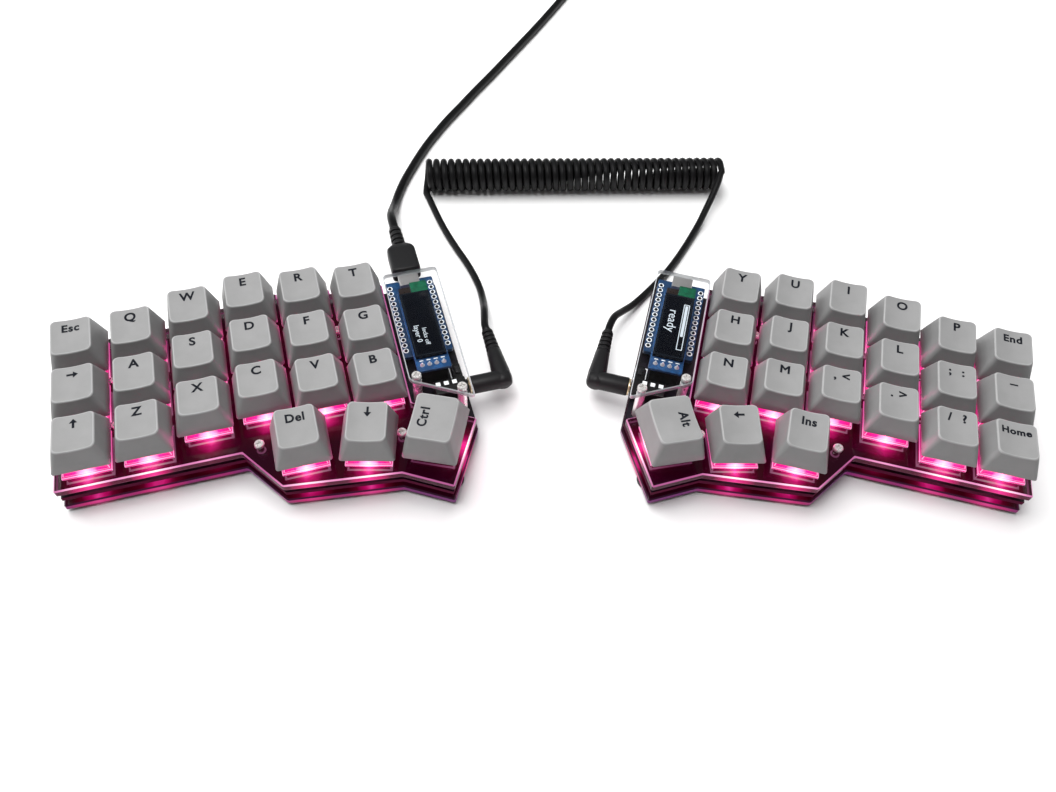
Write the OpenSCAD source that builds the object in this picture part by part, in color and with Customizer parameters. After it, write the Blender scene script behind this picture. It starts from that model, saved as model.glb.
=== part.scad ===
// Split keyboard: two mirrored halves of clear plates and sprung keys, joined by a curly cord.
// Millimetres, +Z up, the desk at z = 0, the mirror plane at x = 0 and the typist at -Y.

/* [Key layout] */
// Distance between the centres of neighbouring keys
key_pitch = 19.05; // [18.6:0.05:20]
// How far the ring finger's column lies behind the outer two
ring_stagger = 4.75; // [0:0.25:7]
// How far the middle finger's column lies behind the outer two
middle_stagger = 7.125; // [0:0.125:9]
// How far the index finger's column lies behind the outer two
index_stagger = 4.75; // [0:0.25:7]
// How far the innermost column lies behind the outer two
inner_stagger = 2.375; // [0:0.125:5]
// How far the first thumb key lies in front of the bottom row
thumb_drop = 15.8; // [15.5:0.1:19]
// Step from each thumb key to the next, sideways
thumb_step = 21.5; // [21.2:0.1:24]
// Step from each thumb key to the next, towards the typist
thumb_fall = 3.6; // [2.5:0.1:5]
// Turn of the second thumb key
thumb_turn = 15; // [10:1:18]
// Turn of the third thumb key
long_thumb_turn = 25; // [22:1:30]
// Length of the third thumb key, in key widths
long_thumb_units = 1.25; // [1:0.25:1.25]
// Turn of each half towards the other
half_angle = 15; // [5:1:20]
// Distance from the mirror plane to the outer top key
half_x = 160.5; // [158:0.5:180]

/* [Key caps] */
// Width of a key cap at its foot
cap_base = 18.1; // [17.6:0.1:18.4]
// Width of a key cap's top
cap_top_w = 12.7; // [11.6:0.1:13.4]
// Depth of a key cap's top
cap_top_d = 14; // [13:0.1:15]
// How far a cap's top leans towards its back edge
cap_lean = 0.7; // [0:0.1:1.2]
// Height of the caps in the back row
cap_h_back = 9.8; // [9:0.1:11]
// Height of the caps in the middle row
cap_h_home = 8.3; // [8:0.1:10]
// Height of the caps in the front row
cap_h_front = 7.5; // [7.4:0.1:9]
// Height of the thumb caps
cap_h_thumb = 8.6; // [8:0.1:10]
// Wall of a key cap
cap_wall = 1.4; // [1:0.1:1.5]
// Roof of a key cap, from its hollow to the rim of its top
cap_roof = 2.5; // [2.2:0.1:2.6]
// Depth of the dished top
dish_depth = 0.9; // [0.4:0.1:1.1]
// Radius of the dished top
dish_r = 28; // [22:1:40]
// Space from the top plate up to a cap's foot
cap_gap = 6.2; // [6:0.1:7]

/* [Switches] */
// How far a key goes down
key_travel = 4; // [3:0.1:4]
// Width of the switch body, through the plate
switch_w = 13.9; // [13.6:0.05:13.95]
// Width of the flange that sits on the plate
flange_w = 15.4; // [15:0.1:15.6]
// Height of the switch over the plate
switch_h = 6.6; // [6.4:0.1:6.8]
// Width of the switch's top face
switch_top_w = 11.2; // [10.8:0.1:11.4]
// Depth of the switch's top face
switch_top_d = 10; // [9.6:0.1:10.4]
// Height of the slider's cross over the switch
cross_h = 3.6; // [3.2:0.1:3.8]
// Diameter of the locating post under a switch
post_d = 4; // [3.6:0.1:4]

/* [Plates and boards] */
// Height of the rubber feet
foot_h = 1.2; // [1.1:0.1:3]
// Diameter of the rubber feet
foot_d = 8; // [6:0.5:9]
// Thickness of the bottom plate
bottom_t = 2.5; // [2:0.1:3.5]
// Space between the bottom plate and the circuit board
board_gap = 2.4; // [2:0.1:4]
// Thickness of the circuit board
board_t = 1.6; // [1.2:0.1:2]
// Height of the top plate's upper face over the circuit board
plate_rise = 5; // [4.9:0.1:5.4]
// Thickness of the top plate
top_t = 3; // [1.5:0.1:3.5]
// Plate that shows outside the keys at the sides and back
plate_margin = 1; // [0.6:0.1:3]
// Plate that shows in front of the bottom row
front_margin = 1.8; // [1:0.1:4]
// How far the circuit board stays inside the plates
board_inset = 0.6; // [0.2:0.1:0.8]
// Width of the bay for the controller
bay_w = 20.8; // [20.6:0.1:24]
// Diameter of the spacers
spacer_d = 3.2; // [3:0.1:3.4]
// Diameter of the screws
screw_d = 2; // [1.6:0.1:2]
// Diameter of the screw heads
head_d = 3.4; // [3:0.1:3.5]
// Height of the upper screw heads
head_h = 1.3; // [1:0.1:1.5]
// Height of the lower screw heads
low_head_h = 0.9; // [0.6:0.1:1]

/* [Controller bay] */
// Length of the controller board
controller_l = 36.4; // [35:0.1:37]
// Width of the controller board
controller_w = 18; // [17.6:0.1:18.4]
// Height of the pin strips under the controller
strip_h = 2.5; // [2:0.1:3]
// Pins on each side of the controller
pin_count = 13; // [12:1:13]
// Distance between pins
pin_pitch = 2.54; // [2.5:0.01:2.54]
// Height of the display board over the circuit board
display_rise = 7.7; // [7.5:0.1:9]
// Width of the display board
display_w = 12; // [11:0.1:12.4]
// Length of the display board
display_l = 38; // [36:0.5:39]
// Width of the display glass
glass_w = 11; // [9:0.1:11]
// Length of the display glass
glass_l = 30; // [26:0.5:30]
// Thickness of the display glass
glass_t = 1.4; // [1:0.1:1.6]
// Height of the cover's underside over the circuit board
cover_rise = 12.3; // [11.5:0.1:16]
// Thickness of the cover
cover_t = 2; // [1.5:0.1:3]
// Length of the link jack
jack_l = 12; // [11:0.1:12.4]
// Width of the link jack
jack_w = 6; // [5.6:0.1:6.4]
// Height of the link jack
jack_h = 5; // [4.8:0.1:5.4]
// Diameter of the link jack's bore
jack_bore = 3.6; // [3.55:0.01:3.7]
// How far a reset button goes down
reset_travel = 0.25; // [0.2:0.05:0.4]

/* [Cords] */
// Diameter of the link cord
link_d = 2.65; // [2.2:0.05:2.7]
// Curls of the link cord, whole and a half
curl_count = 40.5; // [30.5:1:40.5]
// Radius of the curls, at the middle of the cord
curl_r = 5.5; // [4.5:0.1:7]
// Diameter of the data cord
data_d = 3.5; // [3:0.1:3.6]
// Radius of the data cord's coil, at the middle of its outer turn
coil_r = 25; // [22:0.5:28]
// Distance from turn to turn of the coil, and from layer to layer
coil_step = 4; // [4:0.1:5]
// Diameter of the link plugs
plug_d = 6.6; // [6:0.1:7]

/* [Hidden] */
$fn = 48;
fit = 0.05;
eps = 0.01;
SIDES = ["left", "right"];
COLUMNS = 6;
ROWS = 3;
stagger = [0, 0, ring_stagger, middle_stagger, index_stagger, inner_stagger];

// Heights from the desk up
bottom_top = foot_h + bottom_t;
board_under = bottom_top + board_gap;
board_top = board_under + board_t;
plate_top = board_top + plate_rise;
plate_under = plate_top - top_t;
switch_top = plate_top + switch_h;
cap_foot = plate_top + cap_gap;
controller_under = board_top + strip_h;
controller_t = 1.6;
controller_top = controller_under + controller_t;
display_under = board_top + display_rise;
display_t = 1.2;
cover_under = board_top + cover_rise;
jack_z = board_top + fit + jack_h / 2;

// Keys of the left half: name, place, turn, form and length in key widths
// Forms 0 to 2 are the rows from back to front, 3 is a thumb key and 4 the long thumb key
thumb1 = [3.5 * key_pitch + 0.4, -2 * key_pitch - thumb_drop];
thumb2 = thumb1 + [thumb_step, -thumb_fall];
thumb3 = thumb2 + [thumb_step, -thumb_fall];
GRID_KEYS = [for (r = [0 : ROWS - 1], c = [0 : COLUMNS - 1])
    [str("key_r", r + 1, "c", c + 1), [c * key_pitch, stagger[c] - r * key_pitch], 0, r, 1]];
THUMB_KEYS = [
    ["thumb_key_1", thumb1, 0, 3, 1],
    ["thumb_key_2", thumb2, -thumb_turn, 3, 1],
    ["thumb_key_3", thumb3, 90 - long_thumb_turn, 4, long_thumb_units]];
KEYS = concat(GRID_KEYS, THUMB_KEYS);
cap_heights = [cap_h_back, cap_h_home, cap_h_front, cap_h_thumb, cap_h_thumb - 0.2];
cap_tilts = [4, 1, -0.5, 7, 0];

// Outline of the plates, seen from above, anticlockwise from the outer front corner
half_key = key_pitch / 2;
bay_left = (COLUMNS - 0.5) * key_pitch + 0.4;
bay_right = bay_left + bay_w;
plate_left = -half_key - plate_margin;
plate_front = -2 * key_pitch - half_key - front_margin;
function back_of(c) = stagger[c] + half_key + plate_margin;
thumb_corner = thumb3 + [1.7, -17.9];
side_corner = thumb3 + [15.1, 6.2];
side_slope = (side_corner.y - thumb_corner.y) / (side_corner.x - thumb_corner.x);
bay_corner = [bay_right, side_corner.y + (bay_right - side_corner.x) * side_slope];
bay_back = back_of(COLUMNS - 1);
front_line = [
    [plate_left, plate_front],
    [2.5 * key_pitch, plate_front],
    thumb1 + [-8.3, -half_key - front_margin],
    thumb2 + [7.9, -12.3],
    thumb_corner,
    side_corner];
back_line = [for (c = [COLUMNS - 2 : -1 : 1])
    if (back_of(c) != back_of(c + 1))
        for (y = [back_of(c + 1), back_of(c)]) [(c + 0.5) * key_pitch, y]];
outer_back = [plate_left, back_of(0)];
bottom_outline = concat(front_line, [bay_corner, [bay_right, bay_back]], back_line, [outer_back]);
bay_front = thumb3.y + 18;
top_outline = concat(front_line, [[bay_left, bay_front], [bay_left, bay_back]], back_line, [outer_back]);

// Each half stands so that the pair's outline is centred on the origin
function turned_y(p) = p.x * sin(half_angle) + p.y * cos(half_angle);
half_y = -(turned_y([bay_right, bay_back]) + turned_y(front_line[0])) / 2;
function on_desk(p, side = 0) = [
    (2 * side - 1) * (half_x - p.x * cos(half_angle) + p.y * sin(half_angle)),
    half_y + turned_y(p),
    p.z];
function along_half(side = 0) = [(2 * side - 1) * sin(half_angle), cos(half_angle), 0];

// Places in the controller bay
bay_x = bay_left + bay_w / 2 - 0.1;
controller_back = bay_back + 0.4;
strip_x = 7.62;
socket_w = 7.6;
socket_l = 5.6;
socket_h = 2.7;
socket_out = 1;
socket_z = controller_top + socket_h / 2;
shell_w = 6.7;
shell_h = 1.7;
jack_y = thumb3.y + 21.6;
jack_mouth = bay_right;
reset_body = [3, 6, 2];
reset_cap = [1.6, 3, 1.1];
reset_clear = 2;
reset_foot = board_top + reset_body.z - 0.35;
display_pins_y = jack_y + jack_w / 2 + reset_clear + reset_body.y / 2;
display_back = display_pins_y - 2.6 + display_l;
reset_spot = [bay_right - 2.2, display_pins_y];
cover_margin = 0.4;
cover_back = bay_back - 4.2;
cover_front = jack_y - 1.2;
cover_slant = tan(30);
cover_left = bay_left + cover_margin;
cover_right = bay_right - cover_margin;
cover_spots = [[bay_left + 3, jack_y - 0.4], [bay_right - 4, jack_y - 8.5]];
screw_spots = [
    [half_key, -half_key],
    [half_key, -key_pitch - half_key],
    [(COLUMNS - 1.5) * key_pitch, (index_stagger + inner_stagger) / 2 - half_key],
    [thumb1.x - 13.5, plate_front + 1.6],
    (thumb2 + thumb3) / 2 + [0.2, 4.4]];
foot_spots = [
    [plate_left + 7, plate_front + 7],
    [plate_left + 7, outer_back.y - 7],
    [3.6 * key_pitch, back_of(3) - 9],
    thumb3 + [3, -8],
    [bay_right - 7, bay_back - 7]];

// Parts of a switch
switch_floor = board_top + 1.2;
flange_t = 1;
slider_w = 6.6;
slider_d = 5.2;
collar_w = 9;
collar_d = 6;
collar_h = 4;
roof_t = 1.2;
opening_w = slider_w + 0.4;
opening_d = 6;
cross_l = 4;
cross_w = 1.15;
cap_post_d = 5.5;
pole_d = 3.2;
spring_d = 4.8;
spring_wire = 0.4;
collar_top = switch_top - roof_t - 0.1;
collar_under = collar_top - collar_h;
rest_gap = 0.3;
pole_h = collar_under - switch_floor - key_travel - rest_gap;
led = [3.4, 2.8, 0.8];
led_y = -4.7;

// Routes of the cords on the desk, by hand
link_z = 1.4;
curl_start = [-49, 110.5, link_z + curl_r];
curl_end = [77, 115, link_z + curl_r];
plug_reach = 12.5;
plug_rise = 22.9;
plug_end = [jack_mouth + plug_reach, jack_y + plug_rise, jack_z];
left_way = [
    [-23.4, 33, 8.6], [-23.7, 39, 5.4], [-24.3, 45, 2.8], [-25.4, 51, 1.6], [-27.6, 57.5, 1.4],
    [-31, 65, 1.4], [-35, 72.5, 1.4], [-39, 80.5, 1.4], [-42.5, 88.5, 1.4], [-45.6, 96.5, 1.4],
    [-48, 103, 1.4]];
right_way = [
    [25.6, 31, 8.8], [29.4, 36.5, 5.6], [34, 42, 2.9], [39, 48, 1.6], [44.5, 54.5, 1.4],
    [50, 61.5, 1.4], [55, 69, 1.4], [59.5, 76.5, 1.4], [63.2, 83, 1.7], [66.6, 89, 2.8],
    [69.8, 95, 5], [72.8, 100.5, 7.9], [75.2, 105.5, 10.6], [76.6, 109.5, 12.1]];
data_z = 1.8;
data_relief_end = [bay_x, bay_back + 27.2, socket_z];
data_way = [
    [-61.3, 80, 11.8], [-61.9, 86, 8.2], [-62, 92, 4.6], [-61.6, 98, 2.4], [-60.6, 105, 1.8],
    [-58.6, 113, 1.8], [-56, 121, 1.8], [-53, 129.5, 1.8], [-49.6, 138, 1.8], [-45.6, 146.5, 1.8],
    [-41, 155.5, 1.8], [-35.6, 165, 1.8], [-29.5, 176, 1.8], [-22.5, 188, 1.8], [-15.5, 200.5, 1.8],
    [-8.5, 213, 1.8], [-1, 226.5, 1.8], [6.5, 240.5, 1.8], [14, 255, 1.8], [20.5, 268, 1.8]];
coil_centre = [3.6, 292.6];
coil_from = -27;
coil_to = 90 + 5 * 360;
tail_way = [[-8.4, 317.6, 5.2], [-18.4, 317.6, 4.3]];
host_plug_start = [-27.4, 317.6, 4];

// Points of a polygon moved inwards
function unit(v) = v / norm(v);
function left_of(v) = [-v.y, v.x];
function inset(points, d) = [for (i = [0 : len(points) - 1])
    let (n = len(points),
         a = left_of(unit(points[i] - points[(i + n - 1) % n])),
         b = left_of(unit(points[(i + 1) % n] - points[i])))
    points[i] + (a + b) * d / (1 + a * b)];

// Swept tubes: the direction of a route at a point, and one that lies across it
function heading(route, i) =
    unit(route[min(i + 1, len(route) - 1)] - route[max(i - 1, 0)]);
function across(route) = [for (i = [0 : len(route) - 1]) cross(heading(route, i), [0, 0, 1])];

module tube(route, sideways, r, sides) {
    last = len(route) - 1;
    rings = [for (i = [0 : last])
        let (t = heading(route, i), b = unit(cross(t, sideways[i])), n = cross(b, t))
        for (s = [0 : sides - 1]) route[i] + r * (cos(360 * s / sides) * n + sin(360 * s / sides) * b)];
    walls = [for (i = [0 : last - 1], s = [0 : sides - 1])
        let (a = i * sides + s, b = i * sides + (s + 1) % sides)
        for (f = [[a, a + sides, b], [b, a + sides, b + sides]]) f];
    caps = [for (s = [1 : sides - 2])
        for (f = [[0, s, s + 1], [last * sides, last * sides + s + 1, last * sides + s]]) f];
    polyhedron(rings, concat(walls, caps));
}

// Least gap of a wound cord to itself, between points that are half a turn or more apart
function self_gap(route, d, half_turn) = min([for (i = [0 : len(route) - 1 - half_turn])
    min([for (j = [i + half_turn : len(route) - 1]) norm(route[i] - route[j])])]) - d;

// Curls of the link cord, from the desk at the left end to the top at the right end
CURL_RINGS = 8;
function curl_spoke(t) = [0, sin(360 * curl_count * t), -cos(360 * curl_count * t)];
curl_steps = CURL_RINGS * curl_count;
curl_turns = [for (i = [0 : curl_steps])
    let (t = i / curl_steps) curl_start + (curl_end - curl_start) * t + curl_r * curl_spoke(t)];
curl_spokes = [for (i = [0 : curl_steps]) curl_spoke(i / curl_steps)];
curl_in = curl_turns[0] - [0, link_d, 0];
curl_out = curl_turns[curl_steps] - [0, link_d, 0];

// Coil of the data cord: inwards on the desk, up a layer in half a turn, and outwards again
COIL_RINGS = 24;
coil_middle = (coil_from + coil_to) / 2;
function coil_radius(a) = coil_r - coil_step * (coil_to - coil_from) / 720 + coil_step * abs(a - coil_middle) / 360;
function coil_height(a) = data_z + coil_step * min(1, max(0, (a - coil_middle) / 180 + 0.5));
function coil_point(a) = [
    coil_centre.x + coil_radius(a) * cos(a),
    coil_centre.y + coil_radius(a) * sin(a),
    coil_height(a)];
coil_steps = floor((coil_to - coil_from) * COIL_RINGS / 360);
coil_turns = [for (i = [0 : coil_steps]) coil_point(coil_from + (coil_to - coil_from) * i / coil_steps)];
coil_in = coil_turns[0] + data_d * [sin(coil_from), -cos(coil_from), 0];
coil_out = coil_turns[coil_steps] - [data_d, 0, 0];

// Placing
module on_half(side) {
    mirror_side = side == 1 ? 1 : 0;
    if (mirror_side == 1)
        mirror([1, 0, 0]) translate([-half_x, half_y, 0]) rotate(half_angle) children();
    else
        translate([-half_x, half_y, 0]) rotate(half_angle) children();
}

module both_halves() {
    on_half(0) children();
    on_half(1) children();
}

module at_key(k) {
    translate(k[1]) rotate(k[2]) children();
}

module block(size, z) {
    translate([0, 0, z + size.z / 2]) cube(size, center = true);
}

module hole(spot, d, z, h) {
    translate([spot.x, spot.y, z - eps]) cylinder(d = d, h = h + 2 * eps);
}

// A block with sloping sides, from its two side views
module sloped_block(side_view, front_view, reach) {
    intersection() {
        rotate([90, 0, 90]) linear_extrude(reach, center = true) polygon(side_view);
        rotate([90, 0, 0]) linear_extrude(reach, center = true) polygon(front_view);
    }
}

function wedge(low, high, z0, z1) = [[-low / 2, z0], [low / 2, z0], [high / 2, z1], [-high / 2, z1]];

// Plates and boards
module sheet(outline, z, t) {
    translate([0, 0, z]) linear_extrude(t) polygon(outline);
}

module bottom_plates() {
    color("hotpink", 0.6) both_halves() difference() {
        sheet(bottom_outline, foot_h, bottom_t);
        for (s = concat(screw_spots, cover_spots)) hole(s, screw_d + 4 * fit, foot_h, bottom_t);
    }
}

module rubber_feet() {
    color("dimgray") both_halves() for (s = foot_spots) translate(s) cylinder(d = foot_d, h = foot_h);
}

module circuit_boards() {
    color("black") both_halves() {
        difference() {
            sheet(inset(bottom_outline, board_inset), board_under, board_t);
            for (s = concat(screw_spots, cover_spots)) hole(s, spacer_d + 8 * fit, board_under, board_t);
            for (k = KEYS) hole(k[1], post_d + 4 * fit, board_under, board_t);
        }
        for (k = KEYS) at_key(k) translate([0, led_y, 0]) block(led, board_under - fit - led.z);
        link_jack();
        difference() {
            translate(reset_spot) block(reset_body, board_top + fit);
            translate(reset_spot) block(reset_cap + [0.2, 0.2, 1], reset_foot - reset_travel - rest_gap);
        }
    }
}

module link_jack() {
    difference() {
        translate([jack_mouth - jack_l / 2, jack_y, 0]) block([jack_l, jack_w, jack_h], board_top + fit);
        translate([jack_mouth + eps, jack_y, jack_z]) rotate([0, -90, 0]) cylinder(d = jack_bore, h = jack_l - 1);
    }
}

module top_plates() {
    color("hotpink", 0.6) both_halves() difference() {
        sheet(top_outline, plate_under, top_t);
        for (s = screw_spots) hole(s, screw_d + 4 * fit, plate_under, top_t);
        for (k = KEYS) at_key(k)
            block([switch_w + 2 * fit, switch_w + 2 * fit, top_t + 2 * eps], plate_under - eps);
    }
}

// Fasteners
module spacer(spot, top) {
    difference() {
        translate([spot.x, spot.y, bottom_top]) cylinder(d = spacer_d, h = top - bottom_top);
        hole(spot, screw_d + 2 * fit, bottom_top, top - bottom_top);
    }
}

module spacers() {
    color("silver") both_halves() {
        for (s = screw_spots) spacer(s, plate_under);
        for (s = cover_spots) spacer(s, cover_under);
    }
}

module screw(head, shank) {
    slot = [head_d * 0.6, head_d * 0.16, head / 2];
    difference() {
        union() {
            cylinder(d = head_d, h = head);
            translate([0, 0, -shank]) cylinder(d = screw_d, h = shank + eps);
        }
        for (a = [0, 90]) rotate(a) block(slot + [0, 0, eps], head - slot.z);
    }
}

module screws() {
    grip = 2.4;
    color("silver") both_halves() {
        for (s = screw_spots) translate([s.x, s.y, plate_top]) screw(head_h, top_t + grip);
        for (s = cover_spots) translate([s.x, s.y, cover_under + cover_t]) screw(head_h, cover_t + grip);
        for (s = concat(screw_spots, cover_spots))
            translate([s.x, s.y, foot_h]) rotate([180, 0, 0]) screw(low_head_h, bottom_t + grip);
    }
}

// Switches
module switch_lower() {
    difference() {
        union() {
            block([switch_w, switch_w, plate_rise + eps], board_top);
            block([flange_w, flange_w, flange_t], plate_top);
            translate([0, 0, board_under - board_t]) cylinder(d = post_d, h = board_t * 2 + eps);
        }
        block([switch_w - 2.4, switch_w - 2.4, plate_rise + flange_t], switch_floor);
    }
}

module switch_upper() {
    low = flange_w - 1;
    foot = plate_top + flange_t + fit;
    difference() {
        sloped_block(wedge(low, switch_top_d, foot, switch_top), wedge(low, switch_top_w, foot, switch_top), low);
        block([collar_w + 0.8, collar_d + 1.6, switch_top - roof_t - foot + eps], foot - eps);
        block([opening_w, opening_d, roof_t + 1], switch_top - roof_t - 0.5);
    }
}

module switch_housings() {
    color("lavenderblush", 0.5) both_halves() for (k = KEYS) at_key(k) {
        switch_lower();
        switch_upper();
    }
}

module switch_springs() {
    color("gold") both_halves() for (k = KEYS) at_key(k) difference() {
        translate([0, 0, switch_floor]) cylinder(d = spring_d, h = collar_under - switch_floor);
        hole([0, 0], spring_d - 2 * spring_wire, switch_floor, collar_under - switch_floor);
    }
}

module cross_bar(grow, z, h) {
    block([cross_l + grow, cross_w + grow, h], z);
    block([cross_w + grow, cross_l + grow, h], z);
}

module slider() {
    block([slider_w, slider_d, switch_top - collar_top + eps], collar_top - eps);
    block([collar_w, collar_d, collar_h], collar_under);
    translate([0, 0, collar_under - pole_h]) cylinder(d = pole_d, h = pole_h + eps);
    cross_bar(0, switch_top - eps, cross_h + eps);
}

// Key caps
module cap_body(form, units, shrink, top) {
    h = cap_heights[form];
    tilt = cap_tilts[form];
    more = (units - 1) * key_pitch;
    low_w = cap_base + more;
    slope_w = (cap_base - cap_top_w) / h;
    back = cap_lean + cap_top_d / 2;
    front = cap_lean - cap_top_d / 2;
    slope_back = (cap_base / 2 - back) / h;
    slope_front = (cap_base / 2 + front) / h;
    foot_back = cap_base / 2 - shrink;
    foot_front = -cap_base / 2 + shrink;
    rim_back = top + back * tan(tilt);
    rim_front = top + front * tan(tilt);
    side_view = [[foot_front, 0], [foot_back, 0],
        [foot_back - slope_back * rim_back, rim_back], [foot_front + slope_front * rim_front, rim_front]];
    tall = h + cap_top_d;
    front_view = wedge(low_w - 2 * shrink, low_w - 2 * shrink - slope_w * tall, 0, tall);
    sloped_block(side_view, front_view, 2 * low_w);
}

module key_cap(form, units) {
    h = cap_heights[form];
    hollow = h - cap_roof;
    clear = 0.1;
    translate([0, 0, cap_foot]) {
        difference() {
            cap_body(form, units, 0, h);
            translate([0, 0, -eps]) cap_body(form, units, cap_wall, hollow);
            translate([0, 0, h + dish_r - dish_depth]) rotate([90 + cap_tilts[form], 0, 0])
                cylinder(r = dish_r, h = 3 * cap_base, center = true, $fn = 96);
        }
        post_foot = switch_top + clear - cap_foot;
        difference() {
            translate([0, 0, post_foot]) cylinder(d = cap_post_d, h = hollow + 0.8 - post_foot);
            cross_bar(2 * fit, post_foot - eps, cross_h + eps);
        }
    }
}

module key(side, k) {
    on_half(side) at_key(k) {
        color("gray") key_cap(k[3], k[4]);
        color("white") slider();
    }
}

// Controller bay
module controllers() {
    color("midnightblue") both_halves() translate([bay_x, controller_back, 0]) {
        translate([0, -controller_l / 2, 0]) block([controller_w, controller_l, controller_t], controller_under);
        for (x = [-strip_x, strip_x]) translate([x, -controller_l / 2, 0]) {
            block([pin_pitch - 0.1, pin_count * pin_pitch, strip_h + eps], board_top);
            for (i = [0 : pin_count - 1]) translate([0, (i - (pin_count - 1) / 2) * pin_pitch, controller_top - eps])
                cylinder(d1 = 1.7, d2 = 0.9, h = 0.7);
        }
        translate([0, -controller_l * 0.62, 0]) rotate(45) block([7, 7, 1 + eps], controller_top - eps);
        translate([0, socket_out - socket_l / 2, 0]) difference() {
            block([socket_w, socket_l, socket_h + eps], controller_top - eps);
            translate([0, 0.6, 0]) block([shell_w + 4 * fit, socket_l, shell_h + 4 * fit], socket_z - shell_h / 2 - 2 * fit);
        }
    }
}

module display_modules() {
    color("navy") both_halves() translate([bay_x, display_back, 0]) {
        translate([0, -display_l / 2, 0]) block([display_w, display_l, display_t], display_under);
        translate([0, -2.6 - glass_l / 2, 0]) block([glass_w, glass_l, glass_t], display_under + display_t + fit);
        translate([0, display_pins_y - display_back, 0])
            block([4 * pin_pitch, pin_pitch - 0.1, display_rise + eps], board_top);
    }
}

module display_covers() {
    drop = (cover_right - cover_left) * cover_slant;
    outline = [[cover_left, cover_front], [cover_right, cover_front - drop],
        [cover_right, cover_back], [cover_left, cover_back]];
    color("white", 0.4) both_halves() difference() {
        sheet(outline, cover_under, cover_t);
        for (s = cover_spots) hole(s, screw_d + 4 * fit, cover_under, cover_t);
    }
}

module reset_button(side) {
    color("ivory") on_half(side) translate(reset_spot) block(reset_cap, reset_foot);
}

// Cords and plugs
module link_plug() {
    collar = 0.8;
    elbow = [plug_end.x, jack_y, jack_z];
    relief = 10;
    grip = plug_rise - relief;
    translate([jack_mouth, jack_y, jack_z]) rotate([0, -90, 0]) cylinder(d = jack_bore - 2 * fit, h = jack_l - 1.5);
    translate([jack_mouth, jack_y, jack_z]) rotate([0, 90, 0]) cylinder(d = jack_h, h = collar);
    translate([jack_mouth + collar, jack_y, jack_z]) rotate([0, 90, 0]) cylinder(d = plug_d, h = plug_reach - collar);
    translate(elbow) sphere(d = plug_d);
    translate(elbow) rotate([-90, 0, 0]) cylinder(d = plug_d, h = grip);
    translate(elbow + [0, grip, 0]) rotate([-90, 0, 0]) cylinder(d1 = plug_d - 1, d2 = link_d + 1.8, h = relief);
}

module data_plug() {
    grip = [10.6, 12, 7];
    grip_start = controller_back + socket_out + 0.8;
    relief_start = grip_start + grip.y;
    shell_l = socket_l - 1;
    translate([bay_x, grip_start - shell_l / 2, socket_z]) cube([shell_w, shell_l, shell_h], center = true);
    translate([bay_x, grip_start + grip.y / 2, socket_z]) cube(grip, center = true);
    translate([bay_x, relief_start, socket_z]) rotate([-90, 0, 0])
        cylinder(d1 = 5.8, d2 = data_d + 1, h = data_relief_end.y - relief_start);
}

module host_plug() {
    relief = 9;
    grip = [27, 15.6, 7.8];
    shell = [12, 12, 4.5];
    translate(host_plug_start) {
        rotate([0, -90, 0]) cylinder(d1 = data_d + 1, d2 = 6.4, h = relief);
        translate([-relief - grip.x / 2, 0, 0]) cube(grip, center = true);
        translate([-relief - grip.x - shell.x / 2, 0, 0]) cube(shell, center = true);
    }
}

module cord_plugs() {
    color("black") {
        both_halves() link_plug();
        on_half(0) data_plug();
        host_plug();
    }
}

module cord_between(start, start_way, way, end_way, end, d) {
    route = concat([start, start + d * start_way], way, [end + d * end_way, end]);
    tube(route, across(route), d / 2, 8);
}

module link_leads() {
    color("black") {
        cord_between(on_desk(plug_end), along_half(), left_way, [0, -1, 0], curl_in, link_d);
        cord_between(on_desk(plug_end, 1), along_half(1), right_way, [0, -1, 0], curl_out, link_d);
    }
}

module link_curls() {
    route = concat([curl_in], curl_turns, [curl_out]);
    spokes = concat([curl_spokes[0]], curl_spokes, [curl_spokes[curl_steps]]);
    echo(least_gap_of_curls = self_gap(curl_turns, link_d, CURL_RINGS / 2));
    color("black") tube(route, spokes, link_d / 2, 6);
}

module data_cord() {
    coil_entry = [-sin(coil_from), cos(coil_from), 0];
    color("black") {
        cord_between(on_desk(data_relief_end), along_half(), data_way, -coil_entry, coil_in, data_d);
        cord_between(coil_out, [-1, 0, 0], tail_way, [1, 0, 0], host_plug_start, data_d);
    }
}

module data_coil() {
    route = concat([coil_in], coil_turns, [coil_out]);
    echo(least_gap_of_coil = self_gap(coil_turns, data_d, COIL_RINGS / 2));
    color("black") tube(route, across(route), data_d / 2, 6);
}

bottom_plates();
rubber_feet();
circuit_boards();
top_plates();
spacers();
screws();
switch_housings();
switch_springs();
controllers();
display_modules();
display_covers();
reset_button(0);  // left_reset_button
reset_button(1);  // right_reset_button
link_leads();
link_curls();
data_cord();
data_coil();
cord_plugs();
for (side = [0, 1], k = KEYS)
    key(side, k);
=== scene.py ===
"""Looks of a split keyboard: grey caps on lit clear switches, clear plates, small displays and two cords.

Shapes are drawn in millimetres, in the frame of the part or of one half or key, and become metres when a
piece is made. The left half's own frame has its origin at the outer top key, x inwards and y away.
"""

from __future__ import annotations

import logging
import math
from dataclasses import dataclass, field
from enum import Enum
from typing import Callable, Iterable, Iterator, Sequence

import bmesh
import bpy
from bpy.types import ID, Mesh, Node, NodeSocket, NodeTree, Object
from mathutils import Matrix, Vector
from mathutils.kdtree import KDTree

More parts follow.
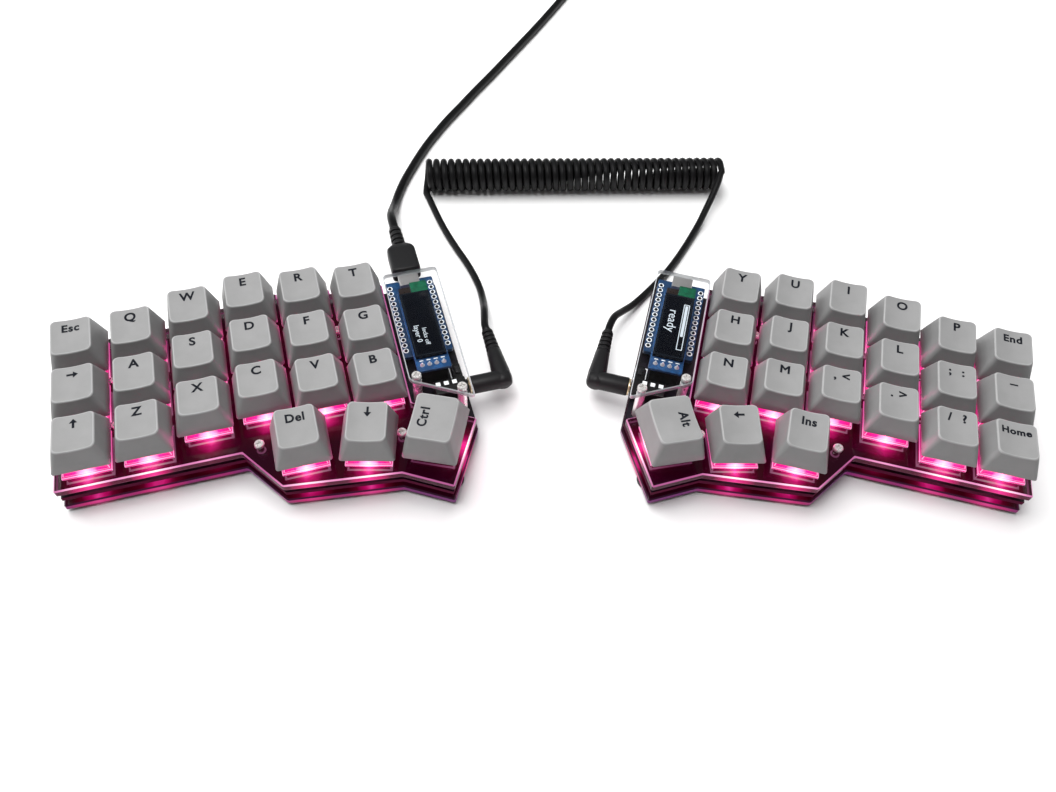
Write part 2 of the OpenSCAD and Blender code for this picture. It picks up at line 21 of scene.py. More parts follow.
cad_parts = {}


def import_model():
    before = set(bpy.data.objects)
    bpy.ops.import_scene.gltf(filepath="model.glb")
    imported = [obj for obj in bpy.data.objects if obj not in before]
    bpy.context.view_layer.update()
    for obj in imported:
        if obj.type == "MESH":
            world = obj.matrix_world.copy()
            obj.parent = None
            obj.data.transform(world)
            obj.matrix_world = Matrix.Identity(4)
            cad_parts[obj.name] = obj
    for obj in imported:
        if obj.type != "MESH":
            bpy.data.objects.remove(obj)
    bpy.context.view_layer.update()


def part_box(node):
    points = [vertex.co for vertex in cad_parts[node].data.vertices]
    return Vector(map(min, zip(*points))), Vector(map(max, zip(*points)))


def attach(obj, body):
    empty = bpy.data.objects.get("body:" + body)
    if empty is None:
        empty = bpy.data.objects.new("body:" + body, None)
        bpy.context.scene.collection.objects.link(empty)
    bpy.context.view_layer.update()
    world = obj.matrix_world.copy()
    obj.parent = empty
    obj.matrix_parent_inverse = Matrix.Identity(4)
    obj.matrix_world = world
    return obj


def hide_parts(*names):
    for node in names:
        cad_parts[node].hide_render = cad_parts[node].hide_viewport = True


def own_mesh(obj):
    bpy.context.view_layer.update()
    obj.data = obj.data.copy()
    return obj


LOG = logging.getLogger("split_keyboard")
MM = 0.001
BASE = "base"
GLOW = "glow"
# Faces marked with this take a painted highlight where a finish reads it: the eased and rounded rims
RIM_HIGHLIGHT = "rim"
TURN = "turn"
SPECULAR = "Specular IOR Level"
Loop = Sequence[Vector]
Spot = tuple[float, float]
Point = tuple[float, float, float]
Profile = Sequence[Spot]
Stops = Sequence[tuple[float, str]]
Way = Sequence[Point]


def linear(hex_colour: str) -> tuple[float, float, float, float]:
    """Turns an sRGB hex colour into linear light.

    Args:
        hex_colour: the colour as "#rrggbb".

    Returns:
        Red, green, blue and alpha.
    """
    parts = [int(hex_colour[i : i + 2], 16) / 255 for i in (1, 3, 5)]
    red, green, blue = (p / 12.92 if p <= 0.04045 else ((p + 0.055) / 1.055) ** 2.4 for p in parts)
    return red, green, blue, 1.0


def feed(socket: NodeSocket, value: object) -> None:
    """Links an input to an output or to a node's first output, or gives it a plain value.

    Args:
        socket: the input.
        value: what it gets.
    """
    source = value.outputs[0] if isinstance(value, Node) else value
    if isinstance(source, NodeSocket):
        socket.id_data.links.new(source, socket)
    else:
        socket.default_value = source


def put(
    tree: NodeTree, kind: str, inputs: dict | None = None, stops: Stops = (), **settings: object
) -> Node:
    """Adds a node with its settings, its values and its links.

    Args:
        tree: the node tree.
        kind: the node's type name.
        inputs: what each input gets, by name or number.
        stops: places and sRGB hex colours along a colour ramp.
        settings: attributes of the node.

    Returns:
        The node.
    """
    node = tree.nodes.new(kind)
    for name, value in settings.items():
        setattr(node, name, value)
    if stops:
        elements = node.color_ramp.elements
        while len(elements) < len(stops):
            elements.new(1.0)
        for element, (place, colour) in zip(elements, stops):
            element.position = place
            element.color = linear(colour)
    for name, value in (inputs or {}).items():
        feed(node.inputs[name], value)
    return node


def stand(name: str, data: ID) -> Object:
    """Makes an object of its data and links it to the scene.

    Args:
        name: its name.
        data: its data.

    Returns:
        The object.
    """
    made = bpy.data.objects.new(name, data)
    bpy.context.scene.collection.objects.link(made)
    return made


def shift(x: float, y: float, z: float = 0.0) -> Matrix:
    """A move."""
    return Matrix.Translation((x, y, z))


def turn(degrees: float, axis: str) -> Matrix:
    """A turn about an axis."""
    return Matrix.Rotation(math.radians(degrees), 4, axis)


class Side(Enum):
    """The two halves."""

    LEFT = "left"
    RIGHT = "right"

    @property
    def sign(self) -> int:
        """Which way the half lies from the middle."""
        return -1 if self is Side.LEFT else 1


class CapRow(Enum):
    """Forms of the caps: height at the middle of the top, and its rise to the back in degrees."""

    BACK = (9.8, 4.0)
    HOME = (8.3, 1.0)
    FRONT = (7.5, -0.5)
    THUMB = (8.6, 7.0)
    LONG_THUMB = (8.4, 0.0)


@dataclass(frozen=True)
class Key:
    """One key of a half: its node's name without the side, its place, turn and form."""

    name: str
    spot: Spot
    turn: float
    row: CapRow
    units: float = 1.0


@dataclass(frozen=True)
class Layout:
    """Where things stand on a half, in millimetres and degrees."""

    pitch: float = 19.05
    stagger: tuple[float, ...] = (0.0, 0.0, 4.75, 7.125, 4.75, 2.375)
    rows: tuple[CapRow, ...] = (CapRow.BACK, CapRow.HOME, CapRow.FRONT)
    thumb_column: float = 3.5
    thumb_drop: float = 15.8
    thumb_step: float = 21.5
    thumb_fall: float = 3.6
    thumb_turns: tuple[float, ...] = (0.0, -15.0, 65.0)
    long_units: float = 1.25
    half_angle: float = 15.0
    half_x: float = 160.5
    side_gap: float = 0.4
    plate_margin: float = 1.0
    front_margin: float = 1.8
    bay_w: float = 20.8
    bay_shift: float = 0.1
    jack_ahead: float = 21.6

    @property
    def half_key(self) -> float:
        """Half the pitch."""
        return self.pitch / 2

    @property
    def front_row(self) -> float:
        """Middle of the front row at the outer keys."""
        return (1 - len(self.rows)) * self.pitch

    @property
    def front(self) -> float:
        """Front edge of the plates at the outer keys."""
        return self.front_row - self.half_key - self.front_margin

    @property
    def thumbs(self) -> list[Spot]:
        """Places of the thumb keys."""
        x, y = self.thumb_column * self.pitch + self.side_gap, self.front_row - self.thumb_drop
        return [(x + i * self.thumb_step, y - i * self.thumb_fall) for i in range(3)]

    @property
    def bay_left(self) -> float:
        """Outer side of the controller bay."""
        return (len(self.stagger) - 0.5) * self.pitch + self.side_gap

    @property
    def bay_right(self) -> float:
        """Inner side of the controller bay."""
        return self.bay_left + self.bay_w

    @property
    def bay_x(self) -> float:
        """Middle of the controller."""
        return self.bay_left + self.bay_w / 2 - self.bay_shift

    @property
    def bay_back(self) -> float:
        """Back edge of the plates at the bay."""
        return self.stagger[-1] + self.half_key + self.plate_margin

    @property
    def jack_y(self) -> float:
        """Middle of the link jack."""
        return self.thumbs[2][1] + self.jack_ahead

    @property
    def half_y(self) -> float:
        """How far the half's origin lies behind the middle of the part."""
        back = self.turned_y(self.bay_right, self.bay_back)
        front = self.turned_y(-self.half_key - self.plate_margin, self.front)
        return -(back + front) / 2

    def turned_y(self, x: float, y: float) -> float:
        """Depth of a half's point once the half is turned."""
        angle = math.radians(self.half_angle)
        return x * math.sin(angle) + y * math.cos(angle)

    def keys(self) -> list[Key]:
        """All keys of a half, rows first."""
        found = []
        for r, row in enumerate(self.rows):
            for c, ahead in enumerate(self.stagger):
                spot = (c * self.pitch, ahead - r * self.pitch)
                found.append(Key(f"key_r{r + 1}c{c + 1}", spot, 0.0, row))
        forms = [(CapRow.THUMB, 1.0), (CapRow.THUMB, 1.0), (CapRow.LONG_THUMB, self.long_units)]
        for i, (spot, turned, form) in enumerate(zip(self.thumbs, self.thumb_turns, forms)):
            found.append(Key(f"thumb_key_{i + 1}", spot, turned, *form))
        return found

    def half(self, side: Side) -> Matrix:
        """Matrix from a half's frame to the part's, mirrored on the right."""
        turned = shift(-self.half_x, self.half_y) @ turn(self.half_angle, "Z")
        return turned if side is Side.LEFT else Matrix.Diagonal((-1, 1, 1, 1)) @ turned

    def spot(self, side: Side, x: float, y: float, z: float = 0.0) -> Vector:
        """A half's point in the part's frame."""
        return self.half(side) @ Vector((x, y, z))

    def at(self, side: Side, x: float, y: float, z: float = 0.0, turned: float = 0.0) -> Matrix:
        """Matrix that sets a shape on a half without mirroring it."""
        angle = -side.sign * (self.half_angle + turned)
        return shift(*self.spot(side, x, y, z)) @ turn(angle, "Z")

    def every_key(self, z: float = 0.0) -> Iterator[tuple[Side, Key, Matrix]]:
        """All keys of both halves, each with the matrix to its place at a height.

        Args:
            z: the height.

        Returns:
            Each key's half, the key and its matrix.
        """
        for side in Side:
            for key in self.keys():
                yield side, key, self.at(side, *key.spot, z, key.turn)


@dataclass(frozen=True)
class Levels:
    """Heights from the desk up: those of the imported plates, and what stands on them."""

    bottom_under: float
    bottom_top: float
    plate_under: float
    plate_top: float
    cover_under: float
    cover_top: float
    board_drop: float = 5.0
    board_t: float = 1.6
    cap_rise: float = 6.2
    controller_rise: float = 2.5
    display_rise: float = 7.7
    display_t: float = 1.2
    jack_rise: float = 2.55
    socket_rise: float = 1.35

    @classmethod
    def from_frame(cls) -> Levels:
        """Reads the heights of the plates off the frame."""
        nodes = ("bottom_plates", "top_plates", "display_covers")
        return cls(*(corner.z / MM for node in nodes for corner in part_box(node)))

    @property
    def board_top(self) -> float:
        """Upper face of the circuit board."""
        return self.plate_top - self.board_drop

    @property
    def board_under(self) -> float:
        """Lower face of the circuit board."""
        return self.board_top - self.board_t

    @property
    def cap_foot(self) -> float:
        """Foot of the key caps."""
        return self.plate_top + self.cap_rise

    @property
    def controller_under(self) -> float:
        """Lower face of the controller board."""
        return self.board_top + self.controller_rise

    @property
    def controller_top(self) -> float:
        """Upper face of the controller board."""
        return self.controller_under + self.board_t

    @property
    def socket_z(self) -> float:
        """Middle of the data socket."""
        return self.controller_top + self.socket_rise

    @property
    def display_under(self) -> float:
        """Lower face of the display board."""
        return self.board_top + self.display_rise

    @property
    def display_top(self) -> float:
        """Upper face of the display board."""
        return self.display_under + self.display_t

    @property
    def jack_z(self) -> float:
        """Middle of the link jack."""
        return self.board_top + self.jack_rise


def rounded(
    half_w: float, front: float, back: float, radius: float, arc: int = 5, edge: int = 1, z: float = 0.0
) -> list[Vector]:
    """A rectangle with round corners, anticlockwise from the right of the front.

    Args:
        half_w: half its width.
        front: its least y.
        back: its greatest y.
        radius: radius of the corners.
        arc: steps in each corner.
        edge: steps along each straight edge.
        z: its height.

    Returns:
        The points.
    """
    radius = min(radius, half_w, (back - front) / 2)
    left, right, low, high = radius - half_w, half_w - radius, front + radius, back - radius
    points = []
    for x, y, start in ((right, low, -90), (right, high, 0), (left, high, 90), (left, low, 180)):
        for i in range(arc + 1):
            a = math.radians(start + 90 * i / arc)
            points.append(Vector((x + radius * math.cos(a), y + radius * math.sin(a), z)))
    filled = []
    for i, p in enumerate(points):
        filled.append(p)
        if i % (arc + 1) == arc:
            after = points[(i + 1) % len(points)]
            filled += [p.lerp(after, j / edge) for j in range(1, edge)]
    return filled


def circle(radius: float, steps: int = 24, z: float = 0.0) -> list[Vector]:
    """Points of a circle round the z axis."""
    turns = [2 * math.pi * i / steps for i in range(steps)]
    return [Vector((radius * math.cos(a), radius * math.sin(a), z)) for a in turns]


def cross_outline(long: float, wide: float, z: float = 0.0) -> list[Vector]:
    """Outline of an upright cross, one arm after another.

    Args:
        long: length over two arms.
        wide: width of an arm.
        z: its height.

    Returns:
        The points.
    """
    arm = [(long / 2, -wide / 2), (long / 2, wide / 2), (wide / 2, wide / 2)]
    turns = ((1, 0), (0, 1), (-1, 0), (0, -1))
    return [Vector((c * x - s * y, s * x + c * y, z)) for c, s in turns for x, y in arm]


class Shape:
    """A mesh under construction, in millimetres."""

    def __init__(self) -> None:
        """Starts empty."""
        self.bm = bmesh.new()

    def loft(self, loops: Sequence[Loop], start: bool = True, end: bool = True) -> Shape:
        """Joins loops of as many points each by walls.

        Args:
            loops: the loops in order.
            start: closes the first loop.
            end: closes the last loop.

        Returns:
            The shape itself.
        """
        rings = [[self.bm.verts.new(p) for p in loop] for loop in loops]
        count = len(rings[0])
        for low, high in zip(rings, rings[1:]):
            for i in range(count):
                j = (i + 1) % count
                self.bm.faces.new((low[i], low[j], high[j], high[i]))
        if start:
            self.bm.faces.new(rings[0][::-1])
        if end:
            self.bm.faces.new(rings[-1])
        return self

    def skin(self, loops: Sequence[Loop]) -> Shape:
        """Joins loops by walls alone."""
        return self.loft(loops, start=False, end=False)

    def ring(self, loops: Sequence[Loop]) -> Shape:
        """Joins loops by walls, and the last one to the first."""
        return self.skin([*loops, loops[0]])

    def revolve(self, profile: Profile, steps: int = 32) -> Shape:
        """Turns a profile of radius and height round the z axis; a radius of 0 closes it."""
        return self.skin([circle(r, steps, z) for r, z in profile])

    def slab(
        self, half_w: float, half_d: float, radius: float, low: float, high: float, ease: float = 0.15
    ) -> Shape:
        """A plate with round corners and eased rims, centred on the z axis.

        Args:
            half_w: half its width.
            half_d: half its depth.
            radius: radius of its corners.
            low: height of its lower face.
            high: height of its upper face.
            ease: size of the eased rims.

        Returns:
            The shape itself.
        """
        soft = ease * 0.29
        steps = [(ease, low), (soft, low + soft), (0, low + ease)]
        steps += [(0, high - ease), (soft, high - soft), (ease, high)]
        loops = []
        for s, z in steps:
            loops.append(rounded(half_w - s, s - half_d, half_d - s, max(radius - s, 0.01), 4, 1, z))
        return self.loft(loops)

    def frame(self, half_w: float, half_d: float, line: float, radius: float, high: float) -> Shape:
        """A thin raised line round a rectangle, centred on the z axis.

        Args:
            half_w: half its outer width.
            half_d: half its outer depth.
            line: width of the line.
            radius: radius of its corners.
            high: height of the line.

        Returns:
            The shape itself.
        """
        loops = []
        for s, z in ((0, 0), (0, high), (line, high), (line, 0)):
            loops.append(rounded(half_w - s, s - half_d, half_d - s, radius, 3, 1, z))
        return self.ring(loops)

    def bar(
        self, half_w: float, half_h: float, radius: float, stations: Profile, arc: int = 5, flat: float = 1.0
    ) -> Shape:
        """A bar along y with round long edges.

        Args:
            half_w: half its width.
            half_h: half its height.
            radius: radius of its long edges.
            stations: how far along, and how far inset there.
            arc: steps in each round edge.
            flat: share of an inset that also lowers the bar.

        Returns:
            The shape itself.
        """
        loops = []
        for y, inset in stations:
            outline = rounded(half_w - inset, inset * flat - half_h, half_h - inset * flat, radius, arc)
            loops.append([Vector((p.x, y, p.y)) for p in outline])
        return self.loft(loops)

    def pierced(self, outer: Loop, inner: Loop, depth: float) -> Shape:
        """A flat ring between two outlines, with a closed well of that depth in its middle.

        Args:
            outer: the outer outline.
            inner: the well's outline, at the same height.
            depth: how far the well's floor lies along z.

        Returns:
            The shape itself.
        """
        rims = [[self.bm.verts.new(p) for p in loop] for loop in (outer, inner)]
        edges = [self.bm.edges.new((rim[i - 1], rim[i])) for rim in rims for i in range(len(rim))]
        bmesh.ops.triangle_fill(self.bm, use_beauty=True, use_dissolve=False, edges=edges)
        floor = [Vector((p.x, p.y, p.z + depth)) for p in inner]
        return self.loft([inner, floor], start=False)

    def add(self, other: Shape, matrix: Matrix | None = None) -> Shape:
        """Takes in a copy of another shape, set by a matrix.

        Args:
            other: the shape to copy.
            matrix: where the copy goes.

        Returns:
            The shape itself.
        """
        copy = bpy.data.meshes.new("copy")
        other.bm.to_mesh(copy)
        copy.transform(matrix or Matrix())
        self.bm.from_mesh(copy)
        bpy.data.meshes.remove(copy)
        return self

    def place(self, matrix: Matrix) -> Shape:
        """Moves the shape."""
        bmesh.ops.transform(self.bm, matrix=matrix, verts=self.bm.verts)
        return self

    def ease(self, width: float, segments: int = 2, least: float = 40.0, clamp: bool = True) -> Shape:
        """Rounds every edge that turns by more than an angle, and marks the new faces as rims, for a painted
        highlight.

        Args:
            width: size of the rounding.
            segments: its steps.
            least: the angle in degrees.
            clamp: keeps the rounding off short edges.

        Returns:
            The shape itself.
        """
        limit = math.radians(least)
        rim = self.bm.faces.layers.float.new(RIM_HIGHLIGHT)
        edges = [e for e in self.bm.edges if e.is_manifold and e.calc_face_angle(0) > limit]
        made = self.bevel(edges, width, segments, clamp)
        for face in made["faces"]:
            face[rim] = 1.0
        return self

    def bevel(self, edges: list[bmesh.types.BMEdge], width: float, segments: int, clamp: bool = True) -> dict:
        """Rounds some edges and returns what that made.

        Args:
            edges: the edges.
            width: size of the rounding.
            segments: its steps.
            clamp: keeps the rounding off short edges.

        Returns:
            What that made.
        """
        return bmesh.ops.bevel(
            self.bm, geom=edges, offset=width, offset_type="OFFSET", segments=segments, profile=0.5,
            affect="EDGES", clamp_overlap=clamp,
        )

    def mark_rim_highlight(self) -> Shape:
        """Marks every face as a rim, for the painted rim highlight."""
        rim = self.bm.faces.layers.float.new(RIM_HIGHLIGHT)
        for face in self.bm.faces:
            face[rim] = 1.0
        return self

    def cut_grid(self, step: float) -> Shape:
        """Cuts the faces along a square grid, so that values can vary over them.

        Args:
            step: width of the grid's squares.

        Returns:
            The shape itself.
        """
        low, high = self.box()
        for axis in (0, 1):
            normal = Vector((1 - axis, axis, 0))
            for i in range(math.floor(low[axis] / step) + 1, math.ceil(high[axis] / step)):
                geom = self.bm.verts[:] + self.bm.edges[:] + self.bm.faces[:]
                bmesh.ops.bisect_plane(self.bm, geom=geom, plane_co=normal * i * step, plane_no=normal)
        return self

    def islands(self) -> list[Shape]:
        """The separate solids of the shape, each as a shape of its own."""
        left = set(self.bm.verts)
        found = []
        while left:
            seed = left.pop()
            group, waiting = {seed}, [seed]
            while waiting:
                near = {vert for edge in waiting.pop().link_edges for vert in edge.verts} & left
                left -= near
                group |= near
                waiting += near
            part = Shape()
            new = {v: part.bm.verts.new(v.co) for v in group}
            for face in {f for v in group for f in v.link_faces}:
                part.bm.faces.new([new[v] for v in face.verts])
            found.append(part)
        return found

    def box(self) -> tuple[Vector, Vector]:
        """Lowest and highest corner."""
        spans = [[v.co[i] for v in self.bm.verts] for i in range(3)]
        return Vector(map(min, spans)), Vector(map(max, spans))

    def mesh(self, name: str) -> Mesh:
        """Closes the work and returns a mesh in millimetres, with its faces outwards.

        Args:
            name: the mesh's name.

        Returns:
            The mesh.
        """
        bmesh.ops.remove_doubles(self.bm, verts=self.bm.verts, dist=1e-4)
        bmesh.ops.recalc_face_normals(self.bm, faces=self.bm.faces)
        made = bpy.data.meshes.new(name)
        self.bm.to_mesh(made)
        self.bm.free()
        return made

    @classmethod
    def of_node(cls, node: str) -> Shape:
        """A merged copy of a CAD node, in millimetres, with flat faces whole again.

        Args:
            node: the CAD node.

        Returns:
            The shape.
        """
        shape = cls()
        shape.bm.from_mesh(bpy.data.objects[node].data)
        shape.place(Matrix.Scale(1 / MM, 4))
        bmesh.ops.remove_doubles(shape.bm, verts=shape.bm.verts, dist=2e-3)
        flat = math.radians(0.5)
        bmesh.ops.dissolve_limit(shape.bm, angle_limit=flat, verts=shape.bm.verts, edges=shape.bm.edges)
        return shape


def meshed(form: Shape | Mesh, name: str) -> Mesh:
    """A form as a mesh."""
    return form.mesh(name) if isinstance(form, Shape) else form


class Finish:
    """A surface: one shader, with what gives it detail added by each kind of finish."""

    def __init__(
        self, name: str, colour: str, roughness: float, ior: float = 1.5, metallic: float = 0.0
    ) -> None:
        """Makes the material.

        Args:
            name: its name.
            colour: its sRGB hex colour.
            roughness: its mean roughness.
            ior: its index of refraction, unless it is a metal.
            metallic: 1 for a metal.
        """
        self.material = bpy.data.materials.new(name)
        self.material.use_nodes = True
        self.tree = self.material.node_tree
        self.tree.nodes.clear()
        self.colour = colour
        self.roughness = roughness
        values = {"Base Color": linear(colour), "Roughness": roughness, "Metallic": metallic}
        if not metallic:
            values["IOR"] = ior
        self.shader = put(self.tree, "ShaderNodeBsdfPrincipled", values)
        put(self.tree, "ShaderNodeOutputMaterial", {"Surface": self.shader})

    def set(self, socket: str, value: object) -> Finish:
        """Sets or links one input of the shader."""
        feed(self.shader.inputs[socket], value)
        return self

    def spots(self, size_mm: float, detail: float = 2.0) -> Node:
        """A pattern of spots about that wide, fixed to the piece.

        Args:
            size_mm: width of a spot.
            detail: how ragged the spots are.

        Returns:
            The pattern's node.
        """
        where = put(self.tree, "ShaderNodeTexCoord").outputs["Object"]
        values = {"Vector": where, "Scale": 1 / (size_mm * MM), "Detail": detail}
        return put(self.tree, "ShaderNodeTexNoise", values)

    def worn(self, size_mm: float, spread: float, depth_mm: float = 0.0) -> Finish:
        """Lets roughness vary over spots of a size, with a bump where a depth is given.

        Args:
            size_mm: width of a spot.
            spread: how far roughness goes up and down.
            depth_mm: depth of the bump.

        Returns:
            The finish itself.
        """
        spots = self.spots(size_mm)
        limits = {"Value": spots, "To Min": self.roughness - spread, "To Max": self.roughness + spread}
        self.set("Roughness", put(self.tree, "ShaderNodeMapRange", limits))
        if depth_mm:
            self.set("Normal", put(self.tree, "ShaderNodeBump", {"Height": spots, "Distance": depth_mm * MM}))
        return self

    def shaded(self, size_mm: float, dark: str) -> Finish:
        """Lets the colour drift between its own and another over spots of a size.

        Args:
            size_mm: width of a spot.
            dark: the other colour.

        Returns:
            The finish itself.
        """
        stops = [(0.35, dark), (0.65, self.colour)]
        spots = self.spots(size_mm, 3.0)
        return self.set("Base Color", put(self.tree, "ShaderNodeValToRGB", {"Fac": spots}, stops))

    def paint_rim_highlight(self, colour: str) -> Finish:
        """Paints a highlight on the rims: they take a colour of their own."""
        inside = self.shader.inputs["Base Color"].links[0].from_socket
        return self.set("Base Color", self.with_rim_highlight(inside, linear(colour)))

    def with_rim_highlight(self, inside: object, rims: object) -> NodeSocket:
        """One colour on the faces and another, a painted highlight, on the rims, by the colour sockets of a
        mix.

        Args:
            inside: colour of the faces.
            rims: colour of the painted highlight on the rims.

        Returns:
            The socket with the mixed colour.
        """
        rim = put(self.tree, "ShaderNodeAttribute", attribute_name=RIM_HIGHLIGHT).outputs["Fac"]
        factor, first, second, result = 0, 6, 7, 2
        values = {factor: rim, first: inside, second: rims}
        return put(self.tree, "ShaderNodeMix", values, data_type="RGBA").outputs[result]

    def lit(self, stops: Stops, strength: float, rims: Stops = ()) -> Finish:
        """Light of its own, along the mesh's glow.

        Args:
            stops: places and sRGB hex colours.
            strength: strength of the light.
            rims: the same for the rims, if they differ: a painted highlight.

        Returns:
            The finish itself.
        """
        glow = put(self.tree, "ShaderNodeAttribute", attribute_name=GLOW).outputs["Fac"]
        colour = put(self.tree, "ShaderNodeValToRGB", {"Fac": glow}, stops)
        if rims:
            colour = self.with_rim_highlight(colour, put(self.tree, "ShaderNodeValToRGB", {"Fac": glow}, rims))
        return self.set("Emission Color", colour).set("Emission Strength", strength)

    def shining(self, colour: str, strength: float) -> Finish:
        """Even light of its own."""
        return self.set("Emission Color", linear(colour)).set("Emission Strength", strength)


class Finishes:
    """Every finish of the part, each named for what it is and how it was made."""

    def __init__(self) -> None:
        """Makes the finishes."""
        self.make_keys()
        self.make_plates()
        self.make_boards()
        self.make_metals()
        self.make_displays()
        self.make_mouldings()

    def make_keys(self) -> None:
        """Makes the finishes of caps and switches."""
        # Moulded polyester: a dry, even grain, drawn coarse so that it shows, and a painted highlight: its
        # rims are painted paler, as where they catch the light
        self.cap = Finish("cap_moulded_polyester", "#7a7a7a", 0.5, 1.57)
        self.cap.shaded(6.0, "#767676").worn(0.35, 0.07, 0.01).paint_rim_highlight("#898989")
        # Dye ink sunk in the cap: dark blue-black, as dry as the cap
        self.ink = Finish("legend_dye_ink", "#070a12", 0.6).worn(0.5, 0.06).set(SPECULAR, 0.25)
        # Clear polycarbonate over a lamp, with the lamp's light painted in as its own glow: hot at the lamp,
        # deep pink away from it, and painted pale highlights along its rims
        stops = [(0.0, "#5a002c"), (0.45, "#b80462"), (0.8, "#fa2898"), (1.0, "#ffe2f4")]
        rims = [(0.0, "#b03a7c"), (0.4, "#f277bd"), (0.75, "#ffc4e6"), (1.0, "#ffffff")]
        self.switch = Finish("switch_clear_polycarbonate", "#5a0a34", 0.12, 1.58)
        self.switch.lit(stops, 1.2, rims).set("Alpha", 0.85)
        # Moulded white acetal: waxy, and pink from the lamp beside it
        self.slider = Finish("slider_white_acetal", "#f4c6df", 0.35, 1.48).worn(0.8, 0.06)
        # Milky epoxy lens: brightest of all
        self.lamp = Finish("lamp_milky_lens", "#ffe3f4", 0.4).shining("#ff8fd2", 2.0)

    def make_plates(self) -> None:
        """Makes the finishes of plates, covers and feet."""
        # Cast acrylic sheet, laser cut: dark where the board lies under it, lit pink round each lamp
        stops = [(0.0, "#1c0009"), (0.25, "#32000a"), (0.55, "#5c0220"), (0.8, "#bc0a60"), (1.0, "#ff46aa")]
        self.sheet = Finish("plate_clear_acrylic_face", "#12000a", 0.06, 1.49)
        self.sheet.lit(stops, 0.9).set("Alpha", 0.8).set(SPECULAR, 0.4)
        # The cut sides: the lamps' light painted in as a glow, dark away from the lamps and pale pink by them
        stops = [(0.0, "#2c0012"), (0.3, "#5a002c"), (0.62, "#d80a72"), (0.85, "#ff2f9d"), (1.0, "#ff8ccc")]
        self.side = Finish("plate_clear_acrylic_cut_side", "#1c000b", 0.12, 1.49).worn(1.5, 0.06)
        self.side.lit(stops, 1.0).set("Alpha", 0.92).set(SPECULAR, 0.15)
        # The eased rims: painted highlights, pale pink to white, brightest by the lamps
        stops = [(0.0, "#a8588a"), (0.2, "#e48cbe"), (0.5, "#ffc2e4"), (0.8, "#ffffff")]
        self.line = Finish("plate_clear_acrylic_rim", "#3a1028", 0.1, 1.49).lit(stops, 1.1)
        # The lower sheet carries the light sideways: its cut side is more even, violet where no lamp is near
        stops = [(0.0, "#5e1a5c"), (0.2, "#8e1c60"), (0.55, "#b42068"), (1.0, "#dc4490")]
        self.low_side = Finish("plate_lower_acrylic_cut_side", "#2a0618", 0.15, 1.49).worn(1.5, 0.06)
        self.low_side.lit(stops, 1.0).set(SPECULAR, 0.2)
        # Its eased rims: a dim painted glow, kept dark as painted shade along the lower edge
        self.low_line = Finish("plate_lower_acrylic_rim", "#1c0614", 0.15, 1.49)
        self.low_line.lit([(0.0, "#2a0a22"), (1.0, "#5a1442")], 0.6)
        # Thin clear cover: it only mirrors a little, and pale light gathers in its cut sides
        self.cover = Finish("cover_clear_acrylic_face", "#ffffff", 0.04, metallic=1.0)
        self.cover.set("Alpha", put(self.cover.tree, "ShaderNodeFresnel", {"IOR": 1.2}))
        self.cover_side = Finish("cover_clear_acrylic_cut_side", "#b4b8bb", 0.2, 1.49).worn(1.2, 0.08)
        self.cover_side.set("Alpha", 0.72)
        # Soft rubber feet: dull grey with a fine grain
        self.rubber = Finish("foot_grey_rubber", "#3c3c3e", 0.8).worn(0.4, 0.08, 0.02)

    def make_boards(self) -> None:
        """Makes the finishes of the boards and what is printed on them."""
        # Solder mask: a glossy varnish over copper tracks that just show
        self.board = self.solder_mask("board_black_solder_mask", "#08070a", "#151018")
        self.blue = self.solder_mask("controller_blue_solder_mask", "#17395c", "#102c4a")
        self.display_blue = self.solder_mask("display_blue_solder_mask", "#154270", "#10355c")
        # Cut glass fibre: rough and dull, lit from below by the lamps under the board
        self.board_side = Finish("board_cut_glass_fibre", "#160a12", 0.85).worn(0.8, 0.08, 0.02)
        self.board_side.set(SPECULAR, 0.1).shining("#5c0630", 0.55)
        # Screen-printed ink: flat white lines
        self.silk = Finish("board_white_print", "#d4d8da", 0.6).worn(0.6, 0.08)
        # Epoxy over a chip: dark, with a fine moulded grain
        self.chip = Finish("chip_black_epoxy", "#101013", 0.5).worn(0.4, 0.08, 0.006)

    def make_metals(self) -> None:
        """Makes the metals: each mirrors softly, in its own tint, with patches that are a little duller."""
        # Tin solder: bright where it is fresh and grey on the pins
        self.solder = Finish("tin_solder", "#e2e4e6", 0.35, metallic=0.7).worn(0.5, 0.08)
        self.dull_solder = Finish("pin_dull_solder", "#3c3e42", 0.4, metallic=1.0).worn(0.5, 0.08)
        # Nickel plate on steel screws and spacers: the brightest metal here
        self.nickel = Finish("nickel_plated_steel", "#efecea", 0.28, metallic=0.7).worn(3.0, 0.05)
        # Turned brass with a pale plate: a warm ring at the plug
        self.brass = Finish("plug_ring_pale_brass", "#e6d3ae", 0.3, metallic=0.75).worn(0.7, 0.07)
        # Pressed steel shell: greyer than nickel
        self.shell = Finish("socket_pressed_steel", "#b4b3b3", 0.35, metallic=0.8).worn(0.9, 0.1)
        # Drawn wire: yellowish
        self.spring = Finish("drawn_spring_steel", "#c9b98f", 0.3, metallic=1.0).worn(0.6, 0.08)

    def make_displays(self) -> None:
        """Makes the finishes of the displays."""
        # Dark glass: nearly black with a clear mirror, and a border that is a shade lighter
        self.glass = Finish("display_dark_glass", "#02040a", 0.05, 1.4).set(SPECULAR, 0.3)
        self.bezel = Finish("display_glass_border", "#10161d", 0.15, 1.45).worn(4.0, 0.04)
        # Lit pixels: cold white
        self.pixels = Finish("display_lit_pixels", "#20262a", 0.4).shining("#e6f2fa", 0.95)
